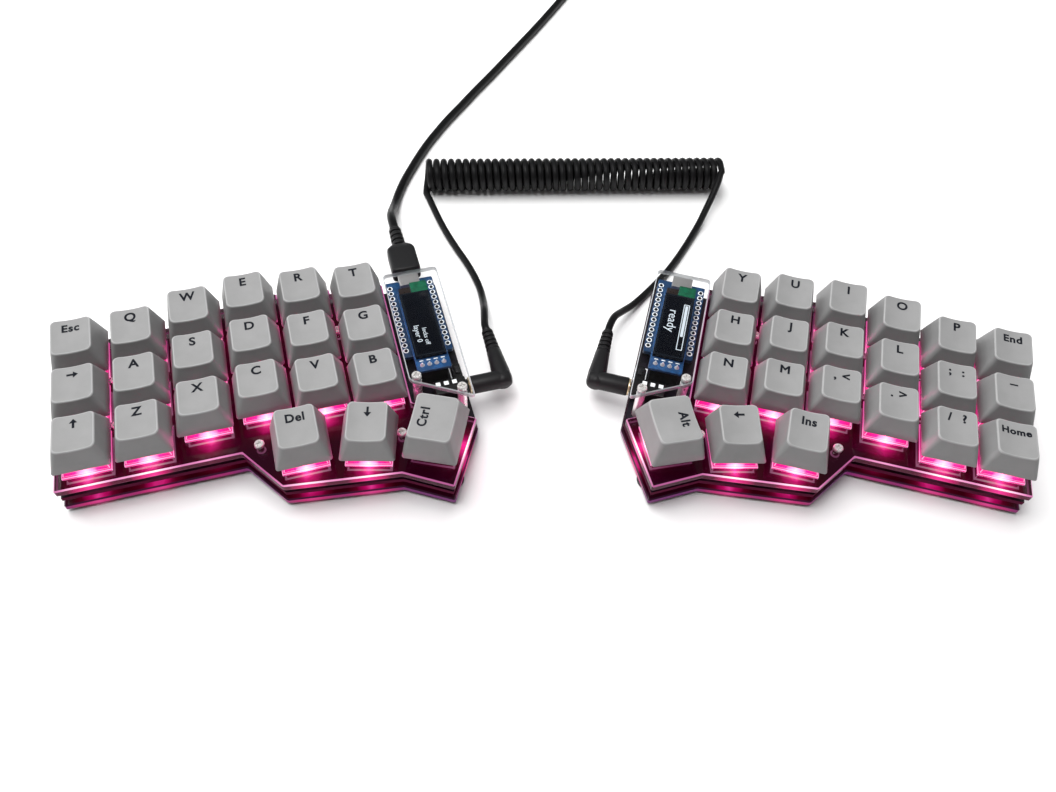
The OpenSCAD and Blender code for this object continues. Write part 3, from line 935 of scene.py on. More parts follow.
        # Lacquered contact and green ribbon: satin, at the glass's back edge
        self.bronze = Finish("display_bronze_contact", "#1c1513", 0.3).worn(0.8, 0.08)
        self.flex = Finish("display_green_ribbon", "#07553a", 0.35).shaded(1.5, "#053d2a").worn(0.8, 0.06)

    def make_mouldings(self) -> None:
        """Makes the finishes of cords, plugs and small black mouldings."""
        # Moulded nylon and acetal: deep black with a fine grain
        self.moulded = Finish("connector_black_nylon", "#0a0a0b", 0.45).worn(0.6, 0.08, 0.01)
        self.button = Finish("reset_button_black", "#1a1a1c", 0.4).worn(0.4, 0.06)
        # Extruded soft jacket: satin black with faint marks
        self.jacket = Finish("cord_black_soft_jacket", "#0b0b0c", 0.45, 1.45).worn(1.2, 0.09, 0.01)
        self.jacket.set(SPECULAR, 0.28)
        # Soft moulding round the plugs: a shade lighter than the jacket
        self.plug = Finish("plug_black_moulding", "#151516", 0.48, 1.45).worn(0.5, 0.09, 0.015)
        self.plug.set(SPECULAR, 0.42)
        # Woven hook strap: quite dull
        self.strap = Finish("tie_black_hook_strap", "#161617", 0.9).worn(0.5, 0.06, 0.08)

    @staticmethod
    def solder_mask(name: str, colour: str, track: str) -> Finish:
        """Varnished board whose copper tracks just show.

        Args:
            name: the material's name.
            colour: the varnish over bare board.
            track: the varnish over copper.

        Returns:
            The finish.
        """
        made = Finish(name, colour, 0.28, 1.55)
        track_mm, rise_mm = 3.2, 0.02
        where = put(made.tree, "ShaderNodeTexCoord").outputs["Object"]
        values = {"Vector": where, "Scale": 1 / (track_mm * MM), "Randomness": 0.6}
        cells = put(made.tree, "ShaderNodeTexVoronoi", values, distance="MANHATTAN", feature="F1")
        stops = [(0.30, track), (0.34, colour), (0.62, colour), (0.66, track)]
        made.set("Base Color", put(made.tree, "ShaderNodeValToRGB", {"Fac": cells}, stops))
        values = {"Height": cells, "Distance": rise_mm * MM, "Strength": 0.3}
        return made.set("Normal", put(made.tree, "ShaderNodeBump", values))


class Workshop:
    """Turns shapes in millimetres into pieces that ride on the frame."""

    def __init__(self, layout: Layout, levels: Levels, finishes: Finishes) -> None:
        """Keeps what every sub-assembly needs.

        Args:
            layout: where things stand.
            levels: the heights.
            finishes: the finishes.
        """
        self.layout = layout
        self.levels = levels
        self.finishes = finishes
        self.scatter_tree = self.make_scatter_tree()

    def piece(
        self,
        name: str,
        form: Shape | Mesh,
        finish: Finish | Sequence[Finish] | None,
        body: str = BASE,
        replaces: Iterable[str] = (),
        slot: str | None = None,
        smooth: float = 35.0,
        by_level: Callable[[float], int] | None = None,
    ) -> Object:
        """Makes one piece.

        Args:
            name: its name.
            form: its shape or mesh in millimetres, in the part's frame.
            finish: its finish or finishes, or None if the mesh has them.
            body: the body that it rides on.
            replaces: the nodes that it stands for.
            slot: not used.
            smooth: edges that turn by more than this many degrees stay sharp.
            by_level: picks a face's finish by how level it is, from 0 upright to 1 flat.

        Returns:
            The object.
        """
        mesh = meshed(form, name)
        levels = [abs(face.normal.z) for face in mesh.polygons]
        mesh.transform(Matrix.Scale(MM, 4))
        mesh.shade_smooth()
        mesh.set_sharp_from_angle(angle=math.radians(smooth))
        if finish is not None:
            mesh.materials.clear()
            for f in [finish] if isinstance(finish, Finish) else finish:
                mesh.materials.append(f.material)
        if by_level:
            mesh.polygons.foreach_set("material_index", [by_level(level) for level in levels])
        made = stand(name, mesh)
        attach(made, body)
        if replaces:
            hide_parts(*replaces)
        LOG.info("%s: %d faces on %s", name, len(mesh.polygons), body)
        return made

    def pair(
        self, name: str, shape: Shape, finish: Finish, replaces: Iterable[str] = (), slot: str | None = None
    ) -> None:
        """Makes one piece of a half's shape on both halves, mirrored on the right.

        Args:
            name: the piece's name.
            shape: the shape in the half's frame.
            finish: its finish.
            replaces: the nodes that it stands for.
            slot: handed to piece, which does not use it.
        """
        both = Shape()
        for side in Side:
            both.add(shape, self.layout.half(side))
        shape.bm.free()
        self.piece(name, both, finish, BASE, replaces, slot)

    def scatter(
        self,
        name: str,
        part: Shape | Mesh,
        spots: Sequence[Matrix],
        finish: Finish,
        replaces: Iterable[str] = (),
        slot: str | None = None,
    ) -> None:
        """Makes one piece of copies of a part.

        Args:
            name: the piece's name.
            part: one copy.
            spots: where each copy stands in the part's frame.
            finish: what they are made of.
            replaces: the nodes that it stands for.
            slot: handed to piece, which does not use it.
        """
        points = bpy.data.meshes.new(name + "_points")
        points.from_pydata([spot.translation for spot in spots], [], [])
        turns = points.attributes.new(TURN, "FLOAT_VECTOR", "POINT")
        turns.data.foreach_set("vector", [angle for spot in spots for angle in spot.to_euler()])
        holder = stand(name + "_part", meshed(part, name + "_part"))
        values = {"Part": holder, "Size": 1.0, "Finish": finish.material}
        made = self.run_nodes(self.scatter_tree, points, values, name)
        bpy.data.objects.remove(holder)
        self.piece(name, made, None, BASE, replaces, slot)

    def both(self, spots: Iterable[Spot], z: float, tilt: float = 0.0) -> list[Matrix]:
        """Spots of a half, on both halves at a height, tilted by degrees about the x axis."""
        return [self.layout.at(side, x, y, z) @ turn(tilt, "X") for side in Side for x, y in spots]

    @staticmethod
    def start_tree(name: str, sizes: dict[str, str]) -> tuple[NodeTree, bpy.types.NodeOutputs]:
        """Starts a node tree that takes geometry, sizes and a finish.

        Args:
            name: the tree's name.
            sizes: kinds of its other inputs by name.

        Returns:
            The tree, and the sockets that hand out its inputs.
        """
        tree = bpy.data.node_groups.new(name, "GeometryNodeTree")
        for socket, kind in {"Geometry": "Geometry", **sizes, "Finish": "Material"}.items():
            tree.interface.new_socket(socket, in_out="INPUT", socket_type="NodeSocket" + kind)
        tree.interface.new_socket("Result", in_out="OUTPUT", socket_type="NodeSocketGeometry")
        return tree, put(tree, "NodeGroupInput").outputs

    @staticmethod
    def end_tree(tree: NodeTree, geometry: Node, finish: NodeSocket) -> None:
        """Ends a node tree with real geometry of one finish.

        Args:
            tree: the tree.
            geometry: the node that makes the geometry.
            finish: the socket that hands out the finish.
        """
        real = put(tree, "GeometryNodeRealizeInstances", {"Geometry": geometry})
        dressed = put(tree, "GeometryNodeSetMaterial", {"Geometry": real, "Material": finish})
        put(tree, "NodeGroupOutput", {0: dressed})

    def make_scatter_tree(self) -> NodeTree:
        """Node tree that sets a part on each point, turned by the point's own angles."""
        tree, given = self.start_tree("set_part_on_points", {"Part": "Object", "Size": "Float"})
        part = put(tree, "GeometryNodeObjectInfo", {"Object": given["Part"]}).outputs["Geometry"]
        angles = put(tree, "GeometryNodeInputNamedAttribute", {"Name": TURN}, data_type="FLOAT_VECTOR")
        turned = put(tree, "FunctionNodeEulerToRotation", {0: angles.outputs["Attribute"]})
        values = {"Points": given["Geometry"], "Instance": part, "Rotation": turned, "Scale": given["Size"]}
        self.end_tree(tree, put(tree, "GeometryNodeInstanceOnPoints", values), given["Finish"])
        return tree

    def run_nodes(
        self, tree: NodeTree, base: Mesh, values: dict[str, object], name: str
    ) -> Mesh:
        """Runs a node tree on a mesh.

        Args:
            tree: the tree.
            base: the mesh that goes in.
            values: the tree's inputs by name.
            name: name of the new mesh.

        Returns:
            The result as a plain mesh.
        """
        host = stand(name + "_host", base)
        modifier = host.modifiers.new("nodes", "NODES")
        modifier.node_group = tree
        for item in tree.interface.items_tree:
            if item.in_out == "INPUT" and item.name in values:
                modifier[item.identifier] = values[item.name]
        made = self.as_mesh(host)
        made.name = name
        return made

    @staticmethod
    def as_mesh(holder: Object) -> Mesh:
        """The plain mesh that an object comes to; the object goes, and its modifiers with it.

        Args:
            holder: the object.

        Returns:
            The mesh.
        """
        bpy.context.view_layer.update()
        graph = bpy.context.evaluated_depsgraph_get()
        made = bpy.data.meshes.new_from_object(holder.evaluated_get(graph), depsgraph=graph)
        holder.modifiers.clear()
        bpy.data.objects.remove(holder)
        return made

    def lettering(self, text: str, size: float, **settings: object) -> Mesh:
        """Text as a thin solid, centred along its line.

        Args:
            text: what it says.
            size: size of the type.
            settings: its weight, spacing and the like.

        Returns:
            The mesh.
        """
        curve = bpy.data.curves.new("lettering", "FONT")
        curve.body = text
        curve.size = size
        curve.align_x = "CENTER"
        curve.extrude = 0.02
        for name, value in settings.items():
            setattr(curve, name, value)
        made = self.as_mesh(stand("lettering", curve))
        bpy.data.curves.remove(curve)
        return made


@dataclass
class Lamps:
    """The lamps under the switches, and how strongly they light a point."""

    layout: Layout
    forward: float = -8.6
    spread: float = 6.4
    nearest: int = 4

    def __post_init__(self) -> None:
        """Finds the lamps of both halves."""
        spots = [place @ Vector((0, self.forward, 0)) for _, _, place in self.layout.every_key()]
        self.tree = KDTree(len(spots))
        for i, spot in enumerate(spots):
            self.tree.insert(spot, i)
        self.tree.balance()

    def level(self, point: Vector) -> float:
        """Light at a point, from 0 to 1."""
        near = self.tree.find_n(Vector((point.x, point.y, 0)), self.nearest)
        return min(1.0, sum(math.exp(-((far / self.spread) ** 2)) for _, _, far in near))

    def light(self, mesh: Mesh, level: Callable[[Vector], float] | None = None) -> Mesh:
        """Writes the light at each point of a mesh, from its own formula if one is given.

        Args:
            mesh: the mesh.
            level: the formula.

        Returns:
            The mesh.
        """
        values = [(level or self.level)(v.co) for v in mesh.vertices]
        mesh.attributes.new(GLOW, "FLOAT", "POINT").data.foreach_set("value", values)
        return mesh


@dataclass
class Plates:
    """Clear plates, their feet, the circuit boards and what holds them together."""

    shop: Workshop
    lamps: Lamps
    rim: float = 0.45
    grid: float = 4.0
    head_d: float = 3.4
    head_h: float = 1.3
    low_head_h: float = 0.9
    shank_d: float = 2.0
    shank_l: float = 5.0
    low_shank_l: float = 4.6
    thread_pitch: float = 0.4
    spacer_d: float = 3.2
    spacer_ease: float = 0.15
    foot_d: float = 8.0
    foot_h: float = 1.2
    foot_in: float = 7.0
    back_foot: Spot = (3.6, -9.0)
    thumb_foot: Spot = (3.0, -8.0)
    lamp_forward: float = -4.7
    joint_spots: Profile = ((-3.8, 2.5), (2.5, 5.1))
    notch_screw: Spot = (-13.5, 1.6)
    thumb_screw: Spot = (0.2, 4.4)
    cover_screws: Profile = ((3.0, -0.4), (-4.0, -8.5))

    def build(self) -> None:
        """Makes the pieces."""
        finishes = self.shop.finishes
        self.plate("top_plates", "upper_plates", (finishes.sheet, finishes.side, finishes.line))
        self.plate("bottom_plates", "lower_plates", (finishes.sheet, finishes.low_side, finishes.low_line))
        self.boards()
        self.screws()
        self.spacers()
        self.feet()

    def plate(self, node: str, name: str, finishes: Sequence[Finish]) -> None:
        """Makes both plates of a layer: faces, cut sides and eased rims each have their finish, each with the
        lamps' light painted in, the rims' as a highlight.

        Args:
            node: the CAD node.
            name: the piece.
            finishes: finish of the faces, the sides and the rims.
        """
        mesh = Shape.of_node(node).ease(self.rim, 1, clamp=False).cut_grid(self.grid).mesh(name)
        self.lamps.light(mesh)
        self.shop.piece(
            name, mesh, finishes, replaces=[node], slot="clear_plate", smooth=20.0,
            by_level=lambda level: 0 if level > 0.98 else 1 if level < 0.05 else 2,
        )

    def boards(self) -> None:
        """Makes the boards, with lamps under them and the joints of every switch."""
        shop = self.shop
        found = Shape.of_node("circuit_boards").islands()
        found.sort(key=lambda s: (s.box()[1] - s.box()[0]).length, reverse=True)
        shop.piece(
            "main_boards",
            Shape().add(found[0]).add(found[1]),
            (shop.finishes.board, shop.finishes.board_side),
            replaces=["circuit_boards"], slot="circuit_board", smooth=30.0,
            by_level=lambda level: 0 if level > 0.9 else 1,
        )
        lens = Shape().slab(1.7, 1.4, 0.3, -0.85, -0.05, 0.2)
        joint = Shape().revolve([(0, -0.9), (0.45, -0.75), (0.75, -0.3), (1.0, 0), (0, 0)], 12)
        places = [place for _, _, place in shop.layout.every_key(shop.levels.board_under)]
        under = [place @ shift(0, self.lamp_forward) for place in places]
        shop.scatter("lamps", lens, under, shop.finishes.lamp)
        pins = [place @ shift(x, y, -0.02) for place in places for x, y in self.joint_spots]
        shop.scatter("switch_joints", joint, pins, shop.finishes.solder)

    def screw(self, head: float, shank: float) -> Shape:
        """A screw with a rounded head and a cross slot, its head's seat at the origin.

        Args:
            head: height of the head.
            shank: length of the shank.

        Returns:
            The screw.
        """
        r, core, flat = self.head_d / 2, self.shank_d / 2, self.head_d / 2 * 0.82
        profile = [(0, -shank), (core - 0.25, -shank)]
        for i in range(int(shank / self.thread_pitch)):
            low = -shank + i * self.thread_pitch
            profile += [(core, low + 0.15), (core - 0.14, low + 0.33)]
        profile += [(core, -0.02), (r - 0.08, 0), (r, 0.1), (r, head * 0.45), (r * 0.97, head * 0.72)]
        profile += [(r * 0.91, head * 0.9), (flat, head)]
        made = Shape().revolve(profile, 24)
        return made.pierced(circle(flat, 24, head), cross_outline(r * 1.25, r * 0.36, head), -head * 0.55)

    def screws(self) -> None:
        """Makes the upper and lower screws."""
        shop, levels = self.shop, self.shop.levels
        plates, covers = self.plate_spots(), self.cover_spots()
        upper = shop.both(plates, levels.plate_top) + shop.both(covers, levels.cover_top)
        lower = shop.both(plates + covers, levels.bottom_under, 180.0)
        long_screw = self.screw(self.head_h, self.shank_l)
        short_screw = self.screw(self.low_head_h, self.low_shank_l)
        shop.scatter("upper_screws", long_screw, upper, shop.finishes.nickel, ["screws"], "steel")
        shop.scatter("lower_screws", short_screw, lower, shop.finishes.nickel, ["screws"], "steel")

    def spacers(self) -> None:
        """Makes the short spacers between the plates and the tall ones under the covers."""
        shop, levels, ease = self.shop, self.shop.levels, self.spacer_ease
        outer, inner = self.spacer_d / 2, self.shank_d / 2 + 0.05
        for name, spots, top in (
            ("plate_spacers", self.plate_spots(), levels.plate_under),
            ("cover_spacers", self.cover_spots(), levels.cover_under),
        ):
            high = top - levels.bottom_top
            ring = [(inner, ease), (inner + ease, 0), (outer - ease, 0), (outer, ease), (outer, high - ease)]
            ring += [(outer - ease, high), (inner + ease, high), (inner, high - ease), (inner, ease)]
            places = shop.both(spots, levels.bottom_top)
            shop.scatter(name, Shape().revolve(ring, 24), places, shop.finishes.nickel, ["spacers"], "steel")

    def feet(self) -> None:
        """Makes the rubber feet, domed a little at the rim."""
        r, h = self.foot_d / 2, self.foot_h
        profile = [(0, 0), (r * 0.8, 0), (r * 0.93, h * 0.12), (r, h * 0.4), (r, h), (0, h)]
        foot, places = Shape().revolve(profile, 28), self.shop.both(self.foot_spots(), 0.0)
        self.shop.scatter("feet", foot, places, self.shop.finishes.rubber, ["rubber_feet"], "rubber_foot")

    def plate_spots(self) -> list[Spot]:
        """Places of the plates' screws on a half."""
        layout, half = self.shop.layout, self.shop.layout.half_key
        first, second, third = (Vector(spot) for spot in layout.thumbs)
        between = (second + third) / 2 + Vector(self.thumb_screw)
        return [
            (half, -half),
            (half, -layout.pitch - half),
            (4.5 * layout.pitch, (layout.stagger[4] + layout.stagger[5]) / 2 - half),
            (first[0] + self.notch_screw[0], layout.front + self.notch_screw[1]),
            (between.x, between.y),
        ]

    def cover_spots(self) -> list[Spot]:
        """Places of the cover's screws on a half."""
        layout = self.shop.layout
        edges = (layout.bay_left, layout.bay_right)
        return [(edge + x, layout.jack_y + y) for edge, (x, y) in zip(edges, self.cover_screws)]

    def foot_spots(self) -> list[Spot]:
        """Places of the feet on a half."""
        layout, inwards = self.shop.layout, self.foot_in
        margin = layout.half_key + layout.plate_margin
        thumb = layout.thumbs[2]
        return [
            (inwards - margin, layout.front + inwards),
            (inwards - margin, layout.stagger[0] + margin - inwards),
            (self.back_foot[0] * layout.pitch, layout.stagger[3] + margin + self.back_foot[1]),
            (thumb[0] + self.thumb_foot[0], thumb[1] + self.thumb_foot[1]),
            (layout.bay_right - inwards, layout.bay_back - inwards),
        ]


@dataclass
class KeyCap:
    """One form of key cap, its foot at z = 0 and its typist at -y."""

    row: CapRow
    units: float
    pitch: float
    base: float = 18.1
    top_w: float = 12.7
    top_d: float = 14.0
    lean: float = 0.7
    wall: float = 1.4
    roof: float = 2.5
    dish_depth: float = 0.9
    dish_r: float = 28.0
    foot_round: float = 0.9
    top_round: float = 1.9
    rim_round: float = 0.42
    skirt: float = 0.6
    stem_d: float = 5.5
    stem_foot: float = 0.5
    cross_l: float = 4.1
    cross_w: float = 1.25
    cross_depth: float = 3.6

    @property
    def height(self) -> float:
        """Height at the middle of the top."""
        return self.row.value[0]

    @property
    def rise(self) -> float:
        """Slope of the top towards the back."""
        return math.tan(math.radians(self.row.value[1]))

    def top_z(self, x: float, y: float) -> float:
        """Height of the dished top over a point."""
        sag = self.dish_r - self.dish_depth - math.sqrt(max(self.dish_r**2 - x**2, 0.0))
        return self.height + y * self.rise + min(sag, 0.0)

    def outline(self, share: float, inset: float = 0.0) -> list[Vector]:
        """The cap's outline at a share of its height, moved inwards.

        Args:
            share: 0 at the foot and 1 at the top.
            inset: how far inwards.

        Returns:
            The points, at z = 0.
        """
        more = (self.units - 1) * self.pitch
        half_w = (self.base + (self.top_w - self.base) * share + more) / 2 - inset
        back = self.base / 2 + (self.lean + self.top_d / 2 - self.base / 2) * share - inset
        front = -self.base / 2 + (self.lean - self.top_d / 2 + self.base / 2) * share + inset
        radius = self.foot_round + (self.top_round - self.foot_round) * share
        return rounded(half_w, front, back, max(radius - inset * 0.8, 0.3), 5, 8)

    def side_loop(self, share: float, inset: float = 0.0) -> list[Vector]:
        """A loop round the cap's wall, with the skirt's drop spread over it."""
        drop = self.skirt * (1 - share)
        return [Vector((p.x, p.y, share * self.top_z(p.x, p.y) - drop)) for p in self.outline(share, inset)]

    def on_top(self, points: Loop) -> list[Vector]:
        """Points laid on the dished top."""
        return [Vector((p.x, p.y, self.top_z(p.x, p.y))) for p in points]

    def shape(self) -> Shape:
        """The cap: walls, rounded rim, dished top, hollow and stem."""
        low_share = 1.0 - self.rim_round * 1.15 / self.height
        low, sharp = self.rim_foot(low_share), self.side_loop(1.0)
        inner = self.on_top(self.outline(1.0, self.rim_round))
        rim = []
        for u in (0.0, 0.25, 0.5, 0.75, 1.0):
            mix = zip(low, sharp, inner)
            rim.append([(1 - u) ** 2 * a + 2 * u * (1 - u) * b + u * u * c for a, b, c in mix])
        middle = Vector((0, self.lean, 0))
        top = []
        for share in (0.985, 0.8, 0.6, 0.4, 0.2, 0.0):
            top.append(self.on_top([middle + (p - middle) * share for p in inner]))
        foot = self.side_loop(0.0, 0.12)
        walls = [self.side_loop(share) for share in (0.02, 0.35, 0.7, low_share - 0.01)]
        made = Shape().loft([*self.hollow(), foot, *walls, rim[0]], end=False)
        made.add(Shape().skin([rim[-1], *top]))
        # The rounded rim's faces take the painted rim highlight
        made.add(Shape().skin(rim).mark_rim_highlight())
        return made.add(self.stem())

    def rim_foot(self, share: float) -> list[Vector]:
        """Where the rim's rounding starts on the wall."""
        return [Vector((p.x, p.y, share * self.top_z(p.x, p.y))) for p in self.outline(share)]

    def hollow(self) -> list[list[Vector]]:
        """Loops of the hollow under the cap, from its roof to the foot of its wall."""
        roof = (self.height - self.roof) / self.height
        loops = []
        stages = ((roof, self.wall + 0.5, 0), (roof * 0.93, self.wall, 0), (0, self.wall, self.skirt))
        for share, inset, drop in stages:
            points = self.outline(share, inset)
            loops.append([Vector((p.x, p.y, share * (self.height + p.y * self.rise) - drop)) for p in points])
        return loops

    def stem(self) -> Shape:
        """The post under the cap, with its cross-shaped socket."""
        high = self.height - self.roof + 0.2
        outer = [circle(self.stem_d / 2, 24, z) for z in (self.stem_foot, high)]
        cross = cross_outline(self.cross_l, self.cross_w, self.stem_foot)
        return Shape().loft(outer, start=False).pierced(outer[0], cross, self.cross_depth)


@dataclass
class Keys:
    """Caps, their legends, sliders, switches and springs."""

    shop: Workshop
    lamps: Lamps
    letter_h: float = 3.3
    capital_share: float = 0.70
    letter_back: float = 4.2
    letter_bold: float = 0.14
    letter_space: float = 1.1
    ink_rise: float = 0.04
    ink_depth: float = 0.1
    legends: Sequence[str] = (
        "Esc", "Q", "W", "E", "R", "T", ">", "A", "S", "D", "F", "G", "^", "Z", "X", "C", "V", "B",
        "Del", "v", "Ctrl",
        "End", "P", "O", "I", "U", "Y", "–", ";  :", "L", "K", "J", "H",
        "Home", "/  ?", ". >", ", <", "M", "N", "Ins", "<", "Alt",
    )
    arrow_turns: dict[str, float] = field(
        default_factory=lambda: {">": -90.0, "^": 0.0, "v": 180.0, "<": 90.0}
    )
    arrow_shaft: float = 0.37
    travel: float = 4.0
    spring_d: float = 4.8
    spring_wire: float = 0.42
    spring_turns: float = 6.0
    lamp_y: float = -7.2

    def build(self) -> None:
        """Makes the pieces of every key."""
        layout, shop = self.shop.layout, self.shop
        slider = self.solid_of("left_key_r1c1", layout.keys()[0], lowest=True).ease(0.12, 1).mesh("slider")
        spring = self.spring_mesh()
        caps: dict[tuple[CapRow, float], Mesh] = {}
        for (side, key, on_desk), legend in zip(layout.every_key(), self.legends):
            node = f"{side.value}_{key.name}"
            form = KeyCap(key.row, key.units, layout.pitch)
            if (key.row, key.units) not in caps:
                caps[key.row, key.units] = form.shape().mesh("cap")
            on_cap = shift(0, 0, shop.levels.cap_foot) @ on_desk
            cap = self.moved(caps[key.row, key.units], on_cap)
            shop.piece(f"{node}_cap", cap, shop.finishes.cap, node, [node], "key_cap", 50.0)
            print_on_cap = self.moved(self.legend(form, legend), on_cap)
            shop.piece(f"{node}_legend", print_on_cap, shop.finishes.ink, node)
            shop.piece(f"{node}_slider", self.moved(slider, on_desk), shop.finishes.slider, node)
            self.add_spring(node, self.moved(spring, on_desk))
        self.switches()

    @staticmethod
    def moved(mesh: Mesh, matrix: Matrix) -> Mesh:
        """A copy of a mesh, set by a matrix.

        Args:
            mesh: the mesh.
            matrix: where the copy goes.

        Returns:
            The copy.
        """
        copy = mesh.copy()
        copy.transform(matrix)
        return copy

    def solid_of(self, node: str, key: Key, lowest: bool) -> Shape:
        """The lower or upper solid of a node at a left key, in the key's own frame.

        Args:
            node: the CAD node.
            key: the key of the left half.
            lowest: takes the one that starts lowest.

        Returns:
            The solid.
        """
        matrix = self.shop.layout.at(Side.LEFT, *key.spot, 0.0, key.turn)
        near = []
        for solid in Shape.of_node(node).islands():
            low, high = solid.box()
            if ((low + high) / 2 - matrix.translation).xy.length < self.shop.layout.pitch / 3:
                near.append(solid)
        near.sort(key=lambda s: s.box()[0].z)
        return near[0 if lowest else -1].place(matrix.inverted())

    def legend(self, form: KeyCap, text: str) -> Mesh:
        """The print on a cap, a thin layer laid on its dished top.

        Args:
            form: the cap.
            text: its legend, or an arrow's sign.

        Returns:
            The mesh in the cap's frame.
        """
        if text in self.arrow_turns:
            flat = self.arrow(self.arrow_turns[text])
        else:
            flat = self.letters(text, form.units > 1)
        made = Shape()
        made.bm.from_mesh(flat)
        bpy.data.meshes.remove(flat)
        bmesh.ops.triangulate(made.bm, faces=made.bm.faces)
        long_edges = [e for e in made.bm.edges if e.calc_length() > 0.9]
        bmesh.ops.subdivide_edges(made.bm, edges=long_edges, cuts=2, use_grid_fill=False)
        for vert in made.bm.verts:
            over = self.ink_rise if vert.co.z > 0 else -self.ink_depth
            x, y = vert.co.x, vert.co.y + self.letter_back
            vert.co = (x, y, form.top_z(x, y) + over)
        return made.mesh("legend")

    def letters(self, text: str, wide: bool) -> Mesh:
        """Letters centred on the origin, larger where one stands alone or the cap is wide.

        Args:
            text: the legend.
            wide: whether the cap is wide.

        Returns:
            The mesh.
        """
        short = len(text) == 1 or " " in text
        share = 1.0 if short else 0.9 if wide else 0.86 if len(text) == 3 else 0.76
        made = self.shop.lettering(
            text, self.letter_h / self.capital_share * share, bevel_depth=self.letter_bold,
            bevel_resolution=0, space_character=self.letter_space, resolution_u=4,
        )
        xs = [v.co.x for v in made.vertices]
        made.transform(shift(-(min(xs) + max(xs)) / 2, -self.letter_h / 2))
        return made

    def arrow(self, turned: float) -> Mesh:
        """An arrow as a thin solid centred on the origin, turned from pointing away.

        Args:
            turned: the turn in degrees.

        Returns:
            The mesh.
        """
        half, wide, shaft = self.letter_h * 0.54, self.letter_h * 0.38, self.arrow_shaft
        neck = half - self.letter_h * 0.48
        outline = [(-shaft, -half), (shaft, -half), (shaft, neck), (wide, neck), (0, half), (-wide, neck)]
        outline.append((-shaft, neck))
        loops = [[Vector((x, y, z)) for x, y in outline] for z in (-0.05, 0.05)]
        return Shape().loft(loops).place(turn(turned, "Z")).mesh("arrow")

    def switches(self) -> None:
        """Makes the lower and upper housings of all switches."""
        shop, layout = self.shop, self.shop.layout
        places = [place for _, _, place in layout.every_key()]
        for name, lowest in (("lower_housings", True), ("upper_housings", False)):
            solid = self.solid_of("switch_housings", layout.keys()[0], lowest)
            # Eased rims are marked for the painted highlight, and the lamp's light is painted in as a glow
            part = solid.ease(0.22, 2).cut_grid(2.5).mesh(name)
            self.lamps.light(part, self.switch_light)
            shop.scatter(name, part, places, shop.finishes.switch, ["switch_housings"], "clear_switch")

    def switch_light(self, point: Vector) -> float:
        """How brightly a switch shines at a point: most at its front, over the lamp.

        Args:
            point: the point in the key's frame.

        Returns:
            The light, from 0 to 1.
        """
        ahead = point.y - self.lamp_y
        near = math.exp(-((point.x / 3.6) ** 2) - (ahead / 4.0) ** 2)
        front = math.exp(-((ahead / 4.5) ** 2))
        return min(1.0, 0.24 + 0.36 * front + 0.45 * near)

    def spring_mesh(self) -> Mesh:
        """One spring, wound by nodes, standing on the floor of its switch in the key's frame."""
        radius, height = (self.spring_d - self.spring_wire) / 2, self.spring_height - self.spring_wire
        sizes = {"Turns": self.spring_turns, "Radius": radius, "Height": height, "Wire": self.spring_wire / 2}
        tree, given = self.shop.start_tree("wound_spring", dict.fromkeys(sizes, "Float"))
        values = {"Resolution": 14, "Rotations": given["Turns"], "Height": given["Height"]}
        values |= {"Start Radius": given["Radius"], "End Radius": given["Radius"]}
        line = put(tree, "GeometryNodeCurveSpiral", values)
        section = put(tree, "GeometryNodeCurvePrimitiveCircle", {"Resolution": 6, "Radius": given["Wire"]})
        values = {"Curve": line, "Profile Curve": section, "Fill Caps": True}
        self.shop.end_tree(tree, put(tree, "GeometryNodeCurveToMesh", values), given["Finish"])
        values = {**sizes, "Finish": self.shop.finishes.spring.material}
        made = self.shop.run_nodes(tree, bpy.data.meshes.new("spring_start"), values, "spring")
        made.transform(shift(0, 0, self.spring_foot + self.spring_wire / 2))
        return made

    @property
    def spring_foot(self) -> float:
        """Height of the springs' lower ends."""
        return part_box("switch_springs")[0].z / MM

    @property
    def spring_height(self) -> float:
        """Length of the springs at rest."""
        low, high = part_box("switch_springs")
        return (high.z - low.z) / MM

    def add_spring(self, node: str, mesh: Mesh) -> None:
        """Makes a key's spring with a mesh of its own; the real spring shortens as the key goes down, but
        this piece stays as it is.

        Args:
            node: the key's node.
            mesh: the spring in the part's frame.
        """
        made = self.shop.piece(f"{node}_spring", mesh, None, BASE, ["switch_springs"], "spring_steel", 60.0)
        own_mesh(made)


